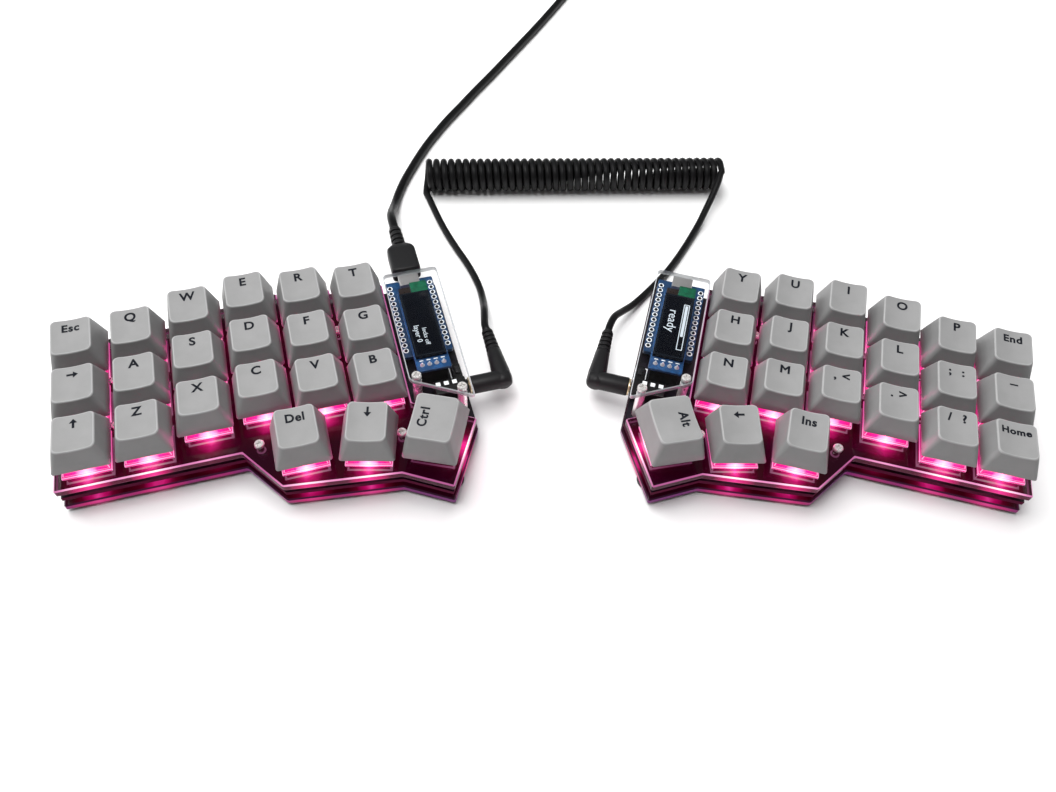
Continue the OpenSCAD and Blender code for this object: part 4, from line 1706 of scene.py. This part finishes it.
@dataclass
class ControllerBay:
    """Controllers, displays, covers, link jacks and reset switches."""

    shop: Workshop
    seat: float = 0.05
    board_w: float = 18.0
    board_l: float = 36.4
    board_past: float = 0.4
    pin_x: float = 7.62
    pin_count: int = 13
    pin_pitch: float = 2.54
    strip_half: float = 1.22
    main_chip: float = 3.5
    main_chip_y: float = -0.12
    small_chips: Sequence[tuple[float, ...]] = (
        (-4.2, 10.2, 0.8, 0.4, 0.5), (4.6, 8.4, 1.5, 1.3, 1.1), (-3.6, 7.2, 0.8, 0.4, 0.5),
        (4.2, -14.6, 1.6, 0.8, 0.6), (-4.4, -14.2, 0.8, 0.4, 0.5),
    )
    socket_half_w: float = 3.8
    socket_wall: float = 0.28
    socket_l: float = 5.6
    socket_past: float = 1.4
    display_w: float = 12.0
    display_l: float = 38.0
    display_pins: int = 4
    glass_w: float = 11.0
    glass_l: float = 30.0
    glass_t: float = 1.4
    border_in: float = 0.3
    border_w: float = 0.45
    ribbon_x: float = 2.3
    pins_to_edge: float = 2.6
    words: Sequence[tuple] = (
        (Side.LEFT, "layer 0", 2.6, -4.8, 2.9),
        (Side.LEFT, "locks off", 0.0, -6.4, 2.3),
        (Side.RIGHT, "ready", 1.2, 2.0, 4.8),
    )
    gauge_l: float = 22.0
    gauge_half_w: float = 1.1
    gauge_line: float = 0.3
    gauge_x: float = -3.2
    cover_round: float = 1.5
    cover_ease: float = 0.3
    jack_l: float = 12.0
    jack_w: float = 6.0
    jack_h: float = 5.0
    jack_bore: float = 3.6
    jack_pads: int = 3
    pad_from: Spot = (-4.6, 1.3)
    pad_step: float = 2.9
    reset_clear: float = 2.0
    reset_in: float = 2.2
    reset_body: Point = (3.0, 6.0, 2.0)

    def build(self) -> None:
        """Makes the pieces."""
        self.controller()
        self.socket()
        self.display()
        self.display_back()
        self.display_front()
        self.marks()
        self.cover()
        self.jack()
        self.reset()

    @property
    def controller_y(self) -> float:
        """Middle of the controller."""
        return self.shop.layout.bay_back + self.board_past - self.board_l / 2

    @property
    def pins_y(self) -> float:
        """The display's pins."""
        return self.shop.layout.jack_y + self.jack_w / 2 + self.reset_clear + self.reset_body[1] / 2

    @property
    def display_y(self) -> float:
        """Middle of the display board."""
        return self.pins_y - self.pins_to_edge + self.display_l / 2

    @property
    def glass_y(self) -> float:
        """Middle of the display glass."""
        return self.display_y + self.display_l / 2 - self.pins_to_edge - self.glass_l / 2

    @property
    def glass_top(self) -> float:
        """Upper face of the display glass."""
        return self.shop.levels.display_top + self.seat + self.glass_t

    def here(self, y: float, x: float = 0.0, z: float = 0.0) -> Matrix:
        """Matrix to a place in the bay, from its middle line."""
        return shift(self.shop.layout.bay_x + x, y, z)

    def controller(self) -> None:
        """Makes the controller boards, their pin strips, printed rings, solder and chips."""
        shop, levels, finishes = self.shop, self.shop.levels, self.shop.finishes
        low, top = levels.controller_under, levels.controller_top
        board = Shape().slab(self.board_w / 2, self.board_l / 2, 0.6, low, top, 0.1)
        board.place(self.here(self.controller_y))
        shop.pair("controller_boards", board, finishes.blue, ["controllers"], "controller_board")
        middle = (self.pin_count - 1) / 2
        rows = [self.controller_y + (i - middle) * self.pin_pitch for i in range(self.pin_count)]
        columns = (-self.pin_x, self.pin_x)
        pins = shop.both([(shop.layout.bay_x + x, y) for x in columns for y in rows], top)
        ring = Shape().revolve([(0.68, 0), (1.02, 0), (1.02, 0.04), (0.68, 0.04), (0.68, 0)], 20)
        shop.scatter("pin_rings", ring, pins, finishes.silk)
        cone = Shape().revolve([(0, 0), (0.62, 0), (0.5, 0.25), (0.34, 0.6), (0.2, 0.72), (0, 0.75)], 14)
        shop.scatter("pin_joints", cone, pins, finishes.dull_solder)
        strips, chips = Shape(), Shape()
        strip_l = self.pin_count * self.pin_pitch
        for x in columns:
            bar = Shape().slab(self.strip_half, strip_l / 2, 0.3, levels.board_top, low)
            strips.add(bar, self.here(self.controller_y, x))
        shop.pair("pin_strips", strips, finishes.moulded)
        main_chip = Shape().slab(self.main_chip, self.main_chip, 0.2, 0, 1.0, 0.1).place(turn(45, "Z"))
        chips.add(main_chip, self.here(self.controller_y + self.board_l * self.main_chip_y, 0, top))
        for x, y, half_w, half_d, high in self.small_chips:
            chip = Shape().slab(half_w, half_d, 0.1, 0, high, 0.08)
            chips.add(chip, self.here(self.controller_y + y, x, top))
        shop.pair("controller_chips", chips, finishes.chip)

    def socket(self) -> None:
        """Makes the data sockets: pressed steel shells, open at the back."""
        shop, wall, length = self.shop, self.socket_wall, self.socket_l
        stations = [(wall - length, wall), (0, wall), (0, 0.08), (-0.1, 0), (-length, 0)]
        shell = Shape().bar(self.socket_half_w, shop.levels.socket_rise, 0.6, stations, 4)
        tongue = Shape().slab(2.3, 1.9, 0.2, -0.3, 0.3, 0.08).place(shift(0, -2.9))
        mouth = self.here(shop.layout.bay_back + self.socket_past, 0, shop.levels.socket_z)
        shop.pair("data_sockets", shell.place(mouth), shop.finishes.shell)
        shop.pair("socket_tongues", tongue.place(mouth), shop.finishes.moulded)

    def display(self) -> None:
        """Makes the display boards and their glass."""
        shop, levels, half_w, half_l = self.shop, self.shop.levels, self.glass_w / 2, self.glass_l / 2
        low, top = levels.display_under, levels.display_top
        board = Shape().slab(self.display_w / 2, self.display_l / 2, 0.5, low, top, 0.1)
        board.place(self.here(self.display_y))
        shop.pair("display_boards", board, shop.finishes.display_blue, ["display_modules"], "display_board")
        glass = Shape().slab(half_w, half_l, 0.2, top + self.seat, self.glass_top, 0.12)
        shop.pair("display_glass", glass.place(self.here(self.glass_y)), shop.finishes.glass)
        border = Shape().frame(half_w - self.border_in, half_l - self.border_in, self.border_w, 0.2, 0.03)
        border.place(self.here(self.glass_y, 0, self.glass_top))
        shop.pair("display_borders", border, shop.finishes.bezel)

    def display_back(self) -> None:
        """Makes the ribbons and contacts at the back of the glass, on the same side on both halves."""
        shop, layout = self.shop, self.shop.layout
        back = self.glass_y + self.glass_l / 2
        ribbon, contact = Shape(), Shape()
        for side in Side:
            aside = -side.sign * self.ribbon_x
            flat = Shape().slab(3.1, 2.9, 0.3, -0.2, 0.0, 0.06)
            ribbon.add(flat, layout.at(side, layout.bay_x + aside, back + 2.2, self.glass_top - 0.3))
            dark = Shape().slab(2.2, 1.9, 0.2, -0.4, 0.0, 0.06)
            contact.add(dark, layout.at(side, layout.bay_x - aside * 1.35, back + 1.0, self.glass_top - 0.2))
        shop.piece("display_ribbons", ribbon, shop.finishes.flex)
        shop.piece("display_contacts", contact, shop.finishes.bronze)

    def display_front(self) -> None:
        """Makes the display's pins, with a printed mark behind each."""
        shop, levels, top = self.shop, self.shop.levels, self.shop.levels.display_top
        bar = Shape().slab(2 * self.pin_pitch, self.strip_half, 0.3, levels.board_top, levels.display_under)
        shop.pair("display_pin_bars", bar.place(self.here(self.pins_y)), shop.finishes.moulded)
        joint = Shape().revolve([(0, 0), (0.85, 0), (0.7, 0.2), (0.45, 0.55), (0.3, 1.1), (0, 1.2)], 16)
        middle = (self.display_pins - 1) / 2
        xs = [(i - middle) * self.pin_pitch for i in range(self.display_pins)]
        spots = shop.both([(shop.layout.bay_x + x, self.pins_y) for x in xs], top)
        shop.scatter("display_joints", joint, spots, shop.finishes.solder)
        labels = Shape()
        for x in xs:
            labels.add(Shape().slab(0.7, 0.22, 0.05, 0, 0.03, 0.01), self.here(self.pins_y + 1.9, x, top))
        shop.pair("display_pin_marks", labels, shop.finishes.silk)

    def marks(self) -> None:
        """Makes what the displays show: plain status words along the glass, and a level gauge."""
        shop, layout = self.shop, self.shop.layout
        for side, text, x, y, size in self.words:
            flat = shop.lettering(text, size, align_y="CENTER", resolution_u=2)
            where = layout.at(side, layout.bay_x + side.sign * x, self.glass_y + y, self.glass_top + 0.02)
            flat.transform(where @ turn(-90, "Z"))
            shop.piece(f"{side.value}_display_{text.split()[0]}", flat, shop.finishes.pixels)
        high, half_w, line = 0.04, self.gauge_half_w, self.gauge_line
        gauge = Shape().frame(half_w, self.gauge_l / 2, line, 0.3, high)
        filled = Shape().slab(half_w - 2 * line, self.gauge_l * 0.34, 0.1, 0, high, 0.01)
        gauge.add(filled, shift(0, self.gauge_l * 0.13))
        gauge.place(layout.at(Side.RIGHT, layout.bay_x + self.gauge_x, self.glass_y, self.glass_top))
        shop.piece("display_gauge", gauge, shop.finishes.pixels)

    def cover(self) -> None:
        """Makes the clear covers: faces and cut sides each have their finish."""
        finishes, sheet = self.shop.finishes, Shape.of_node("display_covers")
        corners = []
        for edge in sheet.bm.edges:
            upright = abs((edge.verts[0].co - edge.verts[1].co).z) > 1.5
            if upright and edge.calc_face_angle(0) > 0.9:
                corners.append(edge)
        sheet.bevel(corners, self.cover_round, 5)
        self.shop.piece(
            "clear_covers",
            sheet.ease(self.cover_ease, 1, clamp=False),
            (finishes.cover, finishes.cover_side),
            replaces=["display_covers"], slot="clear_cover", smooth=20.0,
            by_level=lambda level: 0 if level > 0.98 else 1,
        )

    def jack(self) -> None:
        """Makes the link jacks: a black body with a raised round mouth, and its pads."""
        shop, layout = self.shop, self.shop.layout
        stations = [(-self.jack_l, 0.25), (0.25 - self.jack_l, 0), (-0.9, 0), (-0.7, 0.25)]
        body = Shape().bar(self.jack_w / 2, self.jack_h / 2, 0.4, stations, 3).place(turn(-90, "Z"))
        bore, outer, deep = self.jack_bore / 2, self.jack_h / 2, -9.5
        collar = [(bore, deep), (bore, -0.15), (bore + 0.15, 0), (outer - 0.2, 0), (outer, -0.2)]
        collar += [(outer, -1.0), (bore + 0.4, -1.0), (bore + 0.4, deep), (bore, deep)]
        body.add(Shape().revolve(collar, 28).place(turn(90, "Y")))
        body.place(shift(layout.bay_right, layout.jack_y, shop.levels.jack_z))
        shop.pair("link_jacks", body, shop.finishes.moulded)
        pads, (x, y) = Shape(), self.pad_from
        for i in range(self.jack_pads):
            pad = Shape().slab(0.8, 0.8, 0.1, -0.1, 0.05, 0.02)
            top = shop.levels.jack_z + self.jack_h / 2
            pads.add(pad, shift(layout.bay_right + x - self.pad_step * i, layout.jack_y + y, top))
        shop.pair("jack_pads", pads, shop.finishes.silk)

    def reset(self) -> None:
        """Makes the reset switches: a frame on the board, and the button that moves."""
        shop, layout, low = self.shop, self.shop.layout, self.shop.levels.board_top
        w, d, h = self.reset_body
        x, y = layout.bay_right - self.reset_in, self.pins_y
        outline = Shape().frame(w / 2 + 0.7, d / 2 + 0.7, 0.35, 0.3, 0.04)
        shop.pair("reset_outlines", outline.place(shift(x - 0.3, y, low)), shop.finishes.silk)
        loops = []
        for s, z in ((0.1, 0), (0, 0.1), (0, h - 0.1), (0.1, h)):
            loops.append(rounded(w / 2 - s, s - d / 2, d / 2 - s, 0.4, 3, 1, z))
        loops += [rounded(0.95, -1.65, 1.65, 0.25, 3, 1, z) for z in (h, 0.9)]
        frame = Shape().loft(loops).place(shift(x, y, low + self.seat))
        shop.pair("reset_frames", frame, shop.finishes.moulded)
        for side in Side:
            node = f"{side.value}_reset_button"
            lowest, highest = (corner.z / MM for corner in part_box(node))
            cap = Shape().slab(0.8, 1.5, 0.25, lowest, highest, 0.12).place(layout.at(side, x, y))
            shop.piece(node + "_cap", cap, shop.finishes.button, node, [node], "button")


@dataclass
class Cords:
    """The curly link cord, the data cord with its coil, and their plugs."""

    shop: Workshop
    link_d: float = 2.8
    route_d: float = 2.65
    curl_count: float = 40.5
    curl_r: float = 5.5
    curl_start: Point = (-49, 110.5, 6.9)
    curl_end: Point = (77, 115, 6.9)
    curl_steps: int = 20
    plug_d: float = 6.6
    plug_reach: float = 12.5
    plug_rise: float = 22.9
    relief_l: float = 10.0
    data_d: float = 3.5
    data_plug_from: float = 2.2
    data_plug_to: float = 27.2
    data_grip_l: float = 15.0
    coil_r: float = 25.0
    coil_step: float = 4.0
    coil_from: float = -27.0
    coil_to: float = 1890.0
    coil_z: float = 1.8
    coil_centre: Spot = (3.6, 292.6)
    host_start: Point = (-27.4, 317.6, 4)
    host_relief_l: float = 9.0
    host_grip_to: float = 36.0
    host_shell_to: float = 48.0
    tie_w: float = 7.0
    tie_t: float = 0.7
    tie_turn: float = -150.0
    left_way: Way = (
        (-23.4, 33, 8.6), (-23.7, 39, 5.4), (-24.3, 45, 2.8), (-25.4, 51, 1.6), (-27.6, 57.5, 1.4),
        (-31, 65, 1.4), (-35, 72.5, 1.4), (-39, 80.5, 1.4), (-42.5, 88.5, 1.4), (-45.6, 96.5, 1.4),
        (-48, 103, 1.4),
    )
    right_way: Way = (
        (25.6, 31, 8.8), (29.4, 36.5, 5.6), (34, 42, 2.9), (39, 48, 1.6), (44.5, 54.5, 1.4),
        (50, 61.5, 1.4), (55, 69, 1.4), (59.5, 76.5, 1.4), (63.2, 83, 1.7), (66.6, 89, 2.8),
        (69.8, 95, 5), (72.8, 100.5, 7.9), (75.2, 105.5, 10.6), (76.6, 109.5, 12.1),
    )
    data_way: Way = (
        (-61.3, 80, 11.8), (-61.9, 86, 8.2), (-62, 92, 4.6), (-61.6, 98, 2.4), (-60.6, 105, 1.8),
        (-58.6, 113, 1.8), (-56, 121, 1.8), (-53, 129.5, 1.8), (-49.6, 138, 1.8), (-45.6, 146.5, 1.8),
        (-41, 155.5, 1.8), (-35.6, 165, 1.8), (-29.5, 176, 1.8), (-22.5, 188, 1.8), (-15.5, 200.5, 1.8),
        (-8.5, 213, 1.8), (-1, 226.5, 1.8), (6.5, 240.5, 1.8), (14, 255, 1.8), (20.5, 268, 1.8),
    )
    tail_way: Way = ((-8.4, 317.6, 5.2), (-18.4, 317.6, 4.3))

    def build(self) -> None:
        link = self.link_route()
        link_cord = self.cord_piece("link_cable", link, self.link_d, ["link_leads", "link_curls"])
        plugs = [piece for side in Side for piece in self.link_plug(side)]
        self.declare(link_cord, link, self.link_d, "object", "loose", plugs)
        data = self.data_route()
        data_cord = self.cord_piece("data_cable", data, self.data_d, ["data_cord", "data_coil"])
        ends = [*self.data_plug(), *self.host_plug(), self.tie()]
        self.declare(data_cord, data, self.data_d, "plug", "coiled", ends)

    @staticmethod
    def declare(
        cord: Object, route: Sequence[Vector], diameter: float, end: str, lay: str, pieces: list
    ) -> None:
        """Logs a cord's length.

        Args:
            cord: its piece.
            route: its middle line in millimetres.
            diameter: not used.
            end: not used.
            lay: not used.
            pieces: not used.
        """
        length = sum((b - a).length for a, b in zip(route, route[1:])) * MM
        LOG.info("%s is %.3f m long", cord.name, length)

    def cord_piece(
        self, name: str, route: Sequence[Vector], diameter: float, nodes: list[str]
    ) -> Object:
        """A cord as one open spline with a round section.

        Args:
            name: its name.
            route: its middle line in millimetres.
            diameter: its diameter in millimetres.
            nodes: the CAD nodes that it stands for.

        Returns:
            The object.
        """
        curve = bpy.data.curves.new(name, "CURVE")
        curve.dimensions = "3D"
        curve.bevel_depth = diameter / 2 * MM
        curve.bevel_resolution = 3
        curve.use_fill_caps = True
        spline = curve.splines.new("POLY")
        spline.points.add(len(route) - 1)
        spline.points.foreach_set("co", [c for p in route for c in (*(p * MM), 1.0)])
        spline.use_smooth = True
        curve.materials.append(self.shop.finishes.jacket.material)
        made = stand(name, curve)
        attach(made, BASE)
        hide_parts(*nodes)
        LOG.info("%s: %d points on %s", name, len(route), BASE)
        return made

    @staticmethod
    def smooth(points: Sequence[Vector], step: float = 1.5) -> list[Vector]:
        """A smooth line through points.

        Args:
            points: the points.
            step: about how far apart the line's own points are.

        Returns:
            The line's points.
        """
        line = []
        last = len(points) - 1
        for i in range(last):
            a, b, c, d = (points[min(max(i + k, 0), last)] for k in (-1, 0, 1, 2))
            count = max(1, round((c - b).length / step))
            for j in range(count):
                t = j / count
                cubic, square = -a + 3 * b - 3 * c + d, 2 * a - 5 * b + 4 * c - d
                line.append((cubic * t**3 + square * t**2 + (c - a) * t + 2 * b) / 2)
        return [*line, points[-1]]

    def lead(self, side: Side, way: Way, end: Vector) -> list[Vector]:
        """A straight lead of the link cord, from its plug to the curls.

        Args:
            side: the half.
            way: points between plug and curls.
            end: where the curls start.

        Returns:
            The lead's points.
        """
        layout = self.shop.layout
        x, y = layout.bay_right + self.plug_reach, layout.jack_y + self.plug_rise
        start = layout.spot(side, x, y, self.shop.levels.jack_z)
        along = layout.half(side).to_3x3() @ Vector((0, self.route_d, 0))
        return self.smooth([start, start + along, *map(Vector, way), end - Vector((0, self.route_d, 0)), end])

    def link_route(self) -> list[Vector]:
        """Middle line of the link cord, from the left plug to the right one."""
        start, end = Vector(self.curl_start), Vector(self.curl_end)
        steps = round(self.curl_count * self.curl_steps)
        turns = []
        for i in range(steps + 1):
            t = i / steps
            a = 2 * math.pi * self.curl_count * t
            turns.append(start.lerp(end, t) + self.curl_r * Vector((0, math.sin(a), -math.cos(a))))
        stub = Vector((0, self.route_d, 0))
        left = self.lead(Side.LEFT, self.left_way, turns[0] - stub)
        right = self.lead(Side.RIGHT, self.right_way, turns[-1] - stub)
        return [*left, *turns, *reversed(right)]

    @property
    def coil_inmost(self) -> float:
        """Radius of the data cord's coil where it turns outwards again."""
        return self.coil_r - self.coil_step * (self.coil_to - self.coil_from) / 720

    def coil_point(self, degrees: float) -> Vector:
        """A point of the data cord's coil, which winds inwards, climbs a layer and winds outwards.

        Args:
            degrees: how far round the coil.

        Returns:
            The point.
        """
        past = degrees - (self.coil_from + self.coil_to) / 2
        radius = self.coil_inmost + self.coil_step * abs(past) / 360
        height = self.coil_z + self.coil_step * min(1, max(0, past / 180 + 0.5))
        a = math.radians(degrees)
        return Vector((*self.coil_centre, height)) + radius * Vector((math.cos(a), math.sin(a), 0))

    def data_route(self) -> list[Vector]:
        """Middle line of the data cord, from its plug on the left half to the host plug."""
        layout = self.shop.layout
        y = layout.bay_back + self.data_plug_to
        start = layout.spot(Side.LEFT, layout.bay_x, y, self.shop.levels.socket_z)
        along = layout.half(Side.LEFT).to_3x3() @ Vector((0, self.data_d, 0))
        steps = round((self.coil_to - self.coil_from) / 10)
        span = (self.coil_to - self.coil_from) / steps
        turns = [self.coil_point(self.coil_from + span * i) for i in range(steps + 1)]
        first = math.radians(self.coil_from)
        way_in = turns[0] + self.data_d * Vector((math.sin(first), -math.cos(first), 0))
        way_out = turns[-1] - Vector((self.data_d, 0, 0))
        head = self.smooth([start, start + along, *map(Vector, self.data_way), way_in], 2.5)
        tail = self.smooth([way_out, *map(Vector, self.tail_way), Vector(self.host_start)], 2.5)
        return [*head, *turns, *tail]

    @staticmethod
    def relief(
        length: float, wide: float, narrow: float, ribs: int, before: float, past: float = 0.0
    ) -> Shape:
        """A ribbed strain relief along y, from its wide end.

        Args:
            length: its length.
            wide: radius at its start.
            narrow: radius at its end.
            ribs: how many ribs it has.
            before: how far it reaches into the plug before its start.
            past: how far it reaches past its end.

        Returns:
            The shape.
        """
        points = []
        for i in range(ribs):
            r = wide + (narrow - wide) * i / ribs
            low, high = length * i / ribs, length * (i + 0.62) / ribs
            points += [(r - 0.55, low + 0.02), (r - 0.08, low + 0.1), (r, low + 0.25), (r, high - 0.2)]
            points += [(r - 0.1, high), (r - 0.6, high + 0.12)]
        points.append((narrow - 0.3, length))
        profile = [(0, -before), (points[0][0], -before), *points, (0, length + past)]
        return Shape().revolve(profile, 28).place(turn(-90, "X"))

    def plug(self, name: str, body: Shape, where: Matrix) -> Object:
        """Makes the moulded body of a plug.

        Args:
            name: the piece's name.
            body: the plug in its own frame.
            where: where it goes.

        Returns:
            The object.
        """
        return self.shop.piece(
            name, body.place(where), self.shop.finishes.plug, replaces=["cord_plugs"], slot="black_plug",
            smooth=40.0,
        )

    def link_plug(self, side: Side) -> list[Object]:
        """A right-angle link plug: a steel tip and ring, a round body, an elbow and a ribbed relief.

        Args:
            side: the half.

        Returns:
            The plug's two pieces.
        """
        shop, layout = self.shop, self.shop.layout
        r, across, grip = self.plug_d / 2, self.plug_reach, self.plug_rise - self.relief_l
        barrel = [(0, 0.8), (r - 0.5, 0.8), (r - 0.1, 0.95), (r, 1.3), (r, across - r)]
        barrel += [(r, across + r * 0.35), (r * 0.86, across + r * 0.75)]
        barrel += [(r * 0.5, across + r * 0.95), (0, across + r)]
        body = Shape().revolve(barrel, 32).place(turn(90, "Y"))
        neck = [(0, -r * 0.98), (r * 0.55, -r * 0.96), (r * 0.9, -r * 0.7), (r, -r * 0.3), (r, r * 0.9)]
        neck += [(r * 0.9, grip * 0.55), (r * 0.8, grip - 0.5), (r * 0.7, grip), (0, grip)]
        body.add(Shape().revolve(neck, 32), shift(across, 0) @ turn(-90, "X"))
        relief = self.relief(self.relief_l, r * 0.76, self.link_d / 2 + 0.6, 5, 0.2)
        body.add(relief, shift(across, grip))
        tip = [(0, -10.4), (0.6, -10.3), (1.2, -9.6), (1.0, -8.9), (1.72, -8.2), (1.72, 0.12), (2.85, 0.15)]
        tip += [(3.05, 0.3), (3.05, 0.75), (2.8, 0.85), (0, 0.85)]
        metal = Shape().revolve(tip, 24).place(turn(90, "Y"))
        where = layout.half(side) @ shift(layout.bay_right, layout.jack_y, shop.levels.jack_z)
        name = f"{side.value}_link_plug"
        made = self.plug(name, body, where)
        return [made, shop.piece(name + "_tip", metal.place(where), shop.finishes.brass)]

    def data_plug(self) -> list[Object]:
        """The plug on the left half: a flat grip with sloped shoulders, a relief and a steel shell."""
        shop, layout, length = self.shop, self.shop.layout, self.data_grip_l
        stations = [(0, 0.4), (0.3, 0.1), (0.8, 0), (11.2, 0), (12.4, 0.35)]
        stations += [(13.6, 1.2), (14.6, 2.1), (length, 2.8)]
        body = Shape().bar(5.4, 3.5, 1.6, stations, flat=0.6)
        rest = self.data_plug_to - self.data_plug_from - length
        body.add(self.relief(rest, 2.7, self.data_d / 2 + 0.55, 4, 0.3), shift(0, length))
        shell = Shape().bar(3.35, 0.85, 0.5, [(-4.6, 0.1), (-4.5, 0), (0.6, 0)], flat=0.6)
        start = shift(layout.bay_x, layout.bay_back + self.data_plug_from, shop.levels.socket_z)
        where = layout.half(Side.LEFT) @ start
        made = self.plug("data_plug", body, where)
        return [made, shop.piece("data_plug_shell", shell.place(where), shop.finishes.nickel)]

    def host_plug(self) -> list[Object]:
        """The plug on the far end: a relief, a grip and an open steel shell."""
        shop, near, far = self.shop, self.host_grip_to, self.host_shell_to
        where = shift(*self.host_start) @ turn(90, "Z")
        stations = [(9, 2.6), (9.3, 1.6), (10.4, 0.5), (12.5, 0)]
        stations += [(near - 2, 0), (near - 0.6, 0.3), (near, 0.9)]
        body = Shape().bar(7.8, 3.9, 2.2, stations, flat=0.6)
        body.add(self.relief(self.host_relief_l, self.data_d / 2 + 0.5, 3.2, 4, 0.0, 0.3))
        stations = [(near + 0.5, 0.35), (far, 0.35), (far, 0.1), (far - 0.1, 0), (near, 0)]
        shell = Shape().bar(6, 2.25, 0.4, stations, 3)
        tongue = Shape().slab(5.4, 5.0, 0.2, 0.2, 1.6, 0.1).place(shift(0, 41.8))
        made = self.plug("host_plug", body, where)
        tip = shop.piece("host_plug_shell", shell.place(where), shop.finishes.nickel)
        return [made, tip, shop.piece("host_plug_tongue", tongue.place(where), shop.finishes.moulded)]

    def tie(self) -> Object:
        """A strap round the coil's turns."""
        near = self.coil_inmost - self.data_d / 2 - 0.5
        far = self.coil_r + self.data_d / 2 + 0.4
        top = self.coil_z + self.coil_step + self.data_d / 2
        thick, edge, half = self.tie_t, self.tie_w / 2, (far - near) / 2
        outside = [(-edge, thick * 0.7), (0.2 - edge, thick), (edge - 0.2, thick), (edge, thick * 0.7)]
        outlines = [(x, rounded(half + grow, 0.0, top + grow, 1.8, 5)) for x, grow in outside]
        outlines += [(x, rounded(half, 0.3, top, 1.4, 5)) for x in (edge, -edge)]
        loops = [[Vector((x, p.x + (near + far) / 2, p.y)) for p in outline] for x, outline in outlines]
        shape = Shape().ring(loops).place(shift(*self.coil_centre) @ turn(self.tie_turn, "Z"))
        return self.shop.piece("coil_tie", shape, self.shop.finishes.strap, smooth=40.0)


@dataclass(frozen=True)
class SoftLight:
    """A square light that looks at the part's middle, in metres and watts."""

    name: str
    place: Point
    size: float
    power: float
    mirrored: bool


@dataclass
class Studio:
    """Camera, floor and light."""

    photo_width: float = 1056.0
    focal_px: float = 898.46
    sensor: float = 36.0
    eye: Point = (-20.7, -188.9, 265.81)
    right: Point = (0.9991, -0.0167, 0.0390)
    forward: Point = (0.0414, 0.5793, -0.8140)
    floor_half: float = 4.0
    surround: float = 0.14
    soft_lights: Sequence[SoftLight] = (
        SoftLight("overhead", (-0.45, 0.9, 1.6), 2.0, 80.0, False),
        SoftLight("along_rims", (-0.3, -0.2, 1.5), 0.5, 11.0, True),
        SoftLight("from_left", (-1.6, 0.3, 0.9), 1.0, 8.0, True),
        SoftLight("from_right", (1.6, 0.3, 0.9), 1.0, 2.5, True),
    )
    spill_colour: str = "#ff3aa0"
    spill_power: float = 0.0095
    spill_size: float = 0.0008
    spill_y: float = -8.9
    spill_rise: float = 0.95

    def camera(self) -> None:
        """Sets the camera as the photograph's was found to stand."""
        data = bpy.data.cameras.new("camera")
        data.sensor_width = self.sensor
        data.sensor_fit = "HORIZONTAL"
        data.lens = self.focal_px * self.sensor / self.photo_width
        data.clip_start = 0.005
        camera = stand("camera", data)
        back = -Vector(self.forward).normalized()
        right = Vector(self.right)
        side = (right - back * right.dot(back)).normalized()
        turned = Matrix((side, back.cross(side), back)).transposed().to_4x4()
        camera.matrix_world = Matrix.Translation(Vector(self.eye) * MM) @ turned
        bpy.context.scene.camera = camera

    def floor(self) -> None:
        """Makes the floor: pale paper, dull and even."""
        half = self.floor_half
        mesh = bpy.data.meshes.new("floor")
        corners = [(-half, -half, 0), (half, -half, 0), (half, half, 0), (-half, half, 0)]
        mesh.from_pydata(corners, [], [(0, 1, 2, 3)])
        mesh.materials.append(Finish("floor_pale_paper", "#d8d8d8", 0.85).worn(2.0, 0.05).material)
        made = stand("floor", mesh)

    def lights(self) -> None:
        """Sets the soft lights and a pale surround."""
        world = bpy.data.worlds.new("surround")
        world.use_nodes = True
        background = world.node_tree.nodes["Background"]
        background.inputs["Color"].default_value = (1, 1, 1, 1)
        background.inputs["Strength"].default_value = self.surround
        bpy.context.scene.world = world
        for soft in self.soft_lights:
            data = bpy.data.lights.new(soft.name, "AREA")
            data.size = soft.size
            data.energy = soft.power
            light = stand(soft.name, data)
            light.location = soft.place
            light.rotation_euler = (-Vector(soft.place)).to_track_quat("-Z", "Y").to_euler()
            light.visible_glossy = soft.mirrored
        bpy.context.scene.view_settings.view_transform = "Standard"

    def lamps(self, layout: Layout, levels: Levels) -> None:
        """Sets a small pink light at the front of every switch, which spills on its neighbours.

        Args:
            layout: where the keys stand.
            levels: the heights.
        """
        data = bpy.data.lights.new("switch_lamp", "POINT")
        data.color = linear(self.spill_colour)[:3]
        data.energy = self.spill_power
        data.shadow_soft_size = self.spill_size
        for _, _, place in layout.every_key(levels.plate_top + self.spill_rise):
            light = stand("switch_lamp", data)
            light.location = place @ Vector((0, self.spill_y, 0)) * MM
            light.visible_glossy = False


def main() -> None:
    """Builds the looks round the frame."""
    logging.basicConfig(level=logging.INFO, format="%(message)s")
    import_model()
    studio = Studio()
    studio.camera()
    layout = Layout()
    shop = Workshop(layout, Levels.from_frame(), Finishes())
    lamps = Lamps(layout)
    Cords(shop).build()
    Plates(shop, lamps).build()
    Keys(shop, lamps).build()
    ControllerBay(shop).build()
    studio.floor()
    studio.lights()
    studio.lamps(layout, shop.levels)


if __name__ == "__main__":
    main()
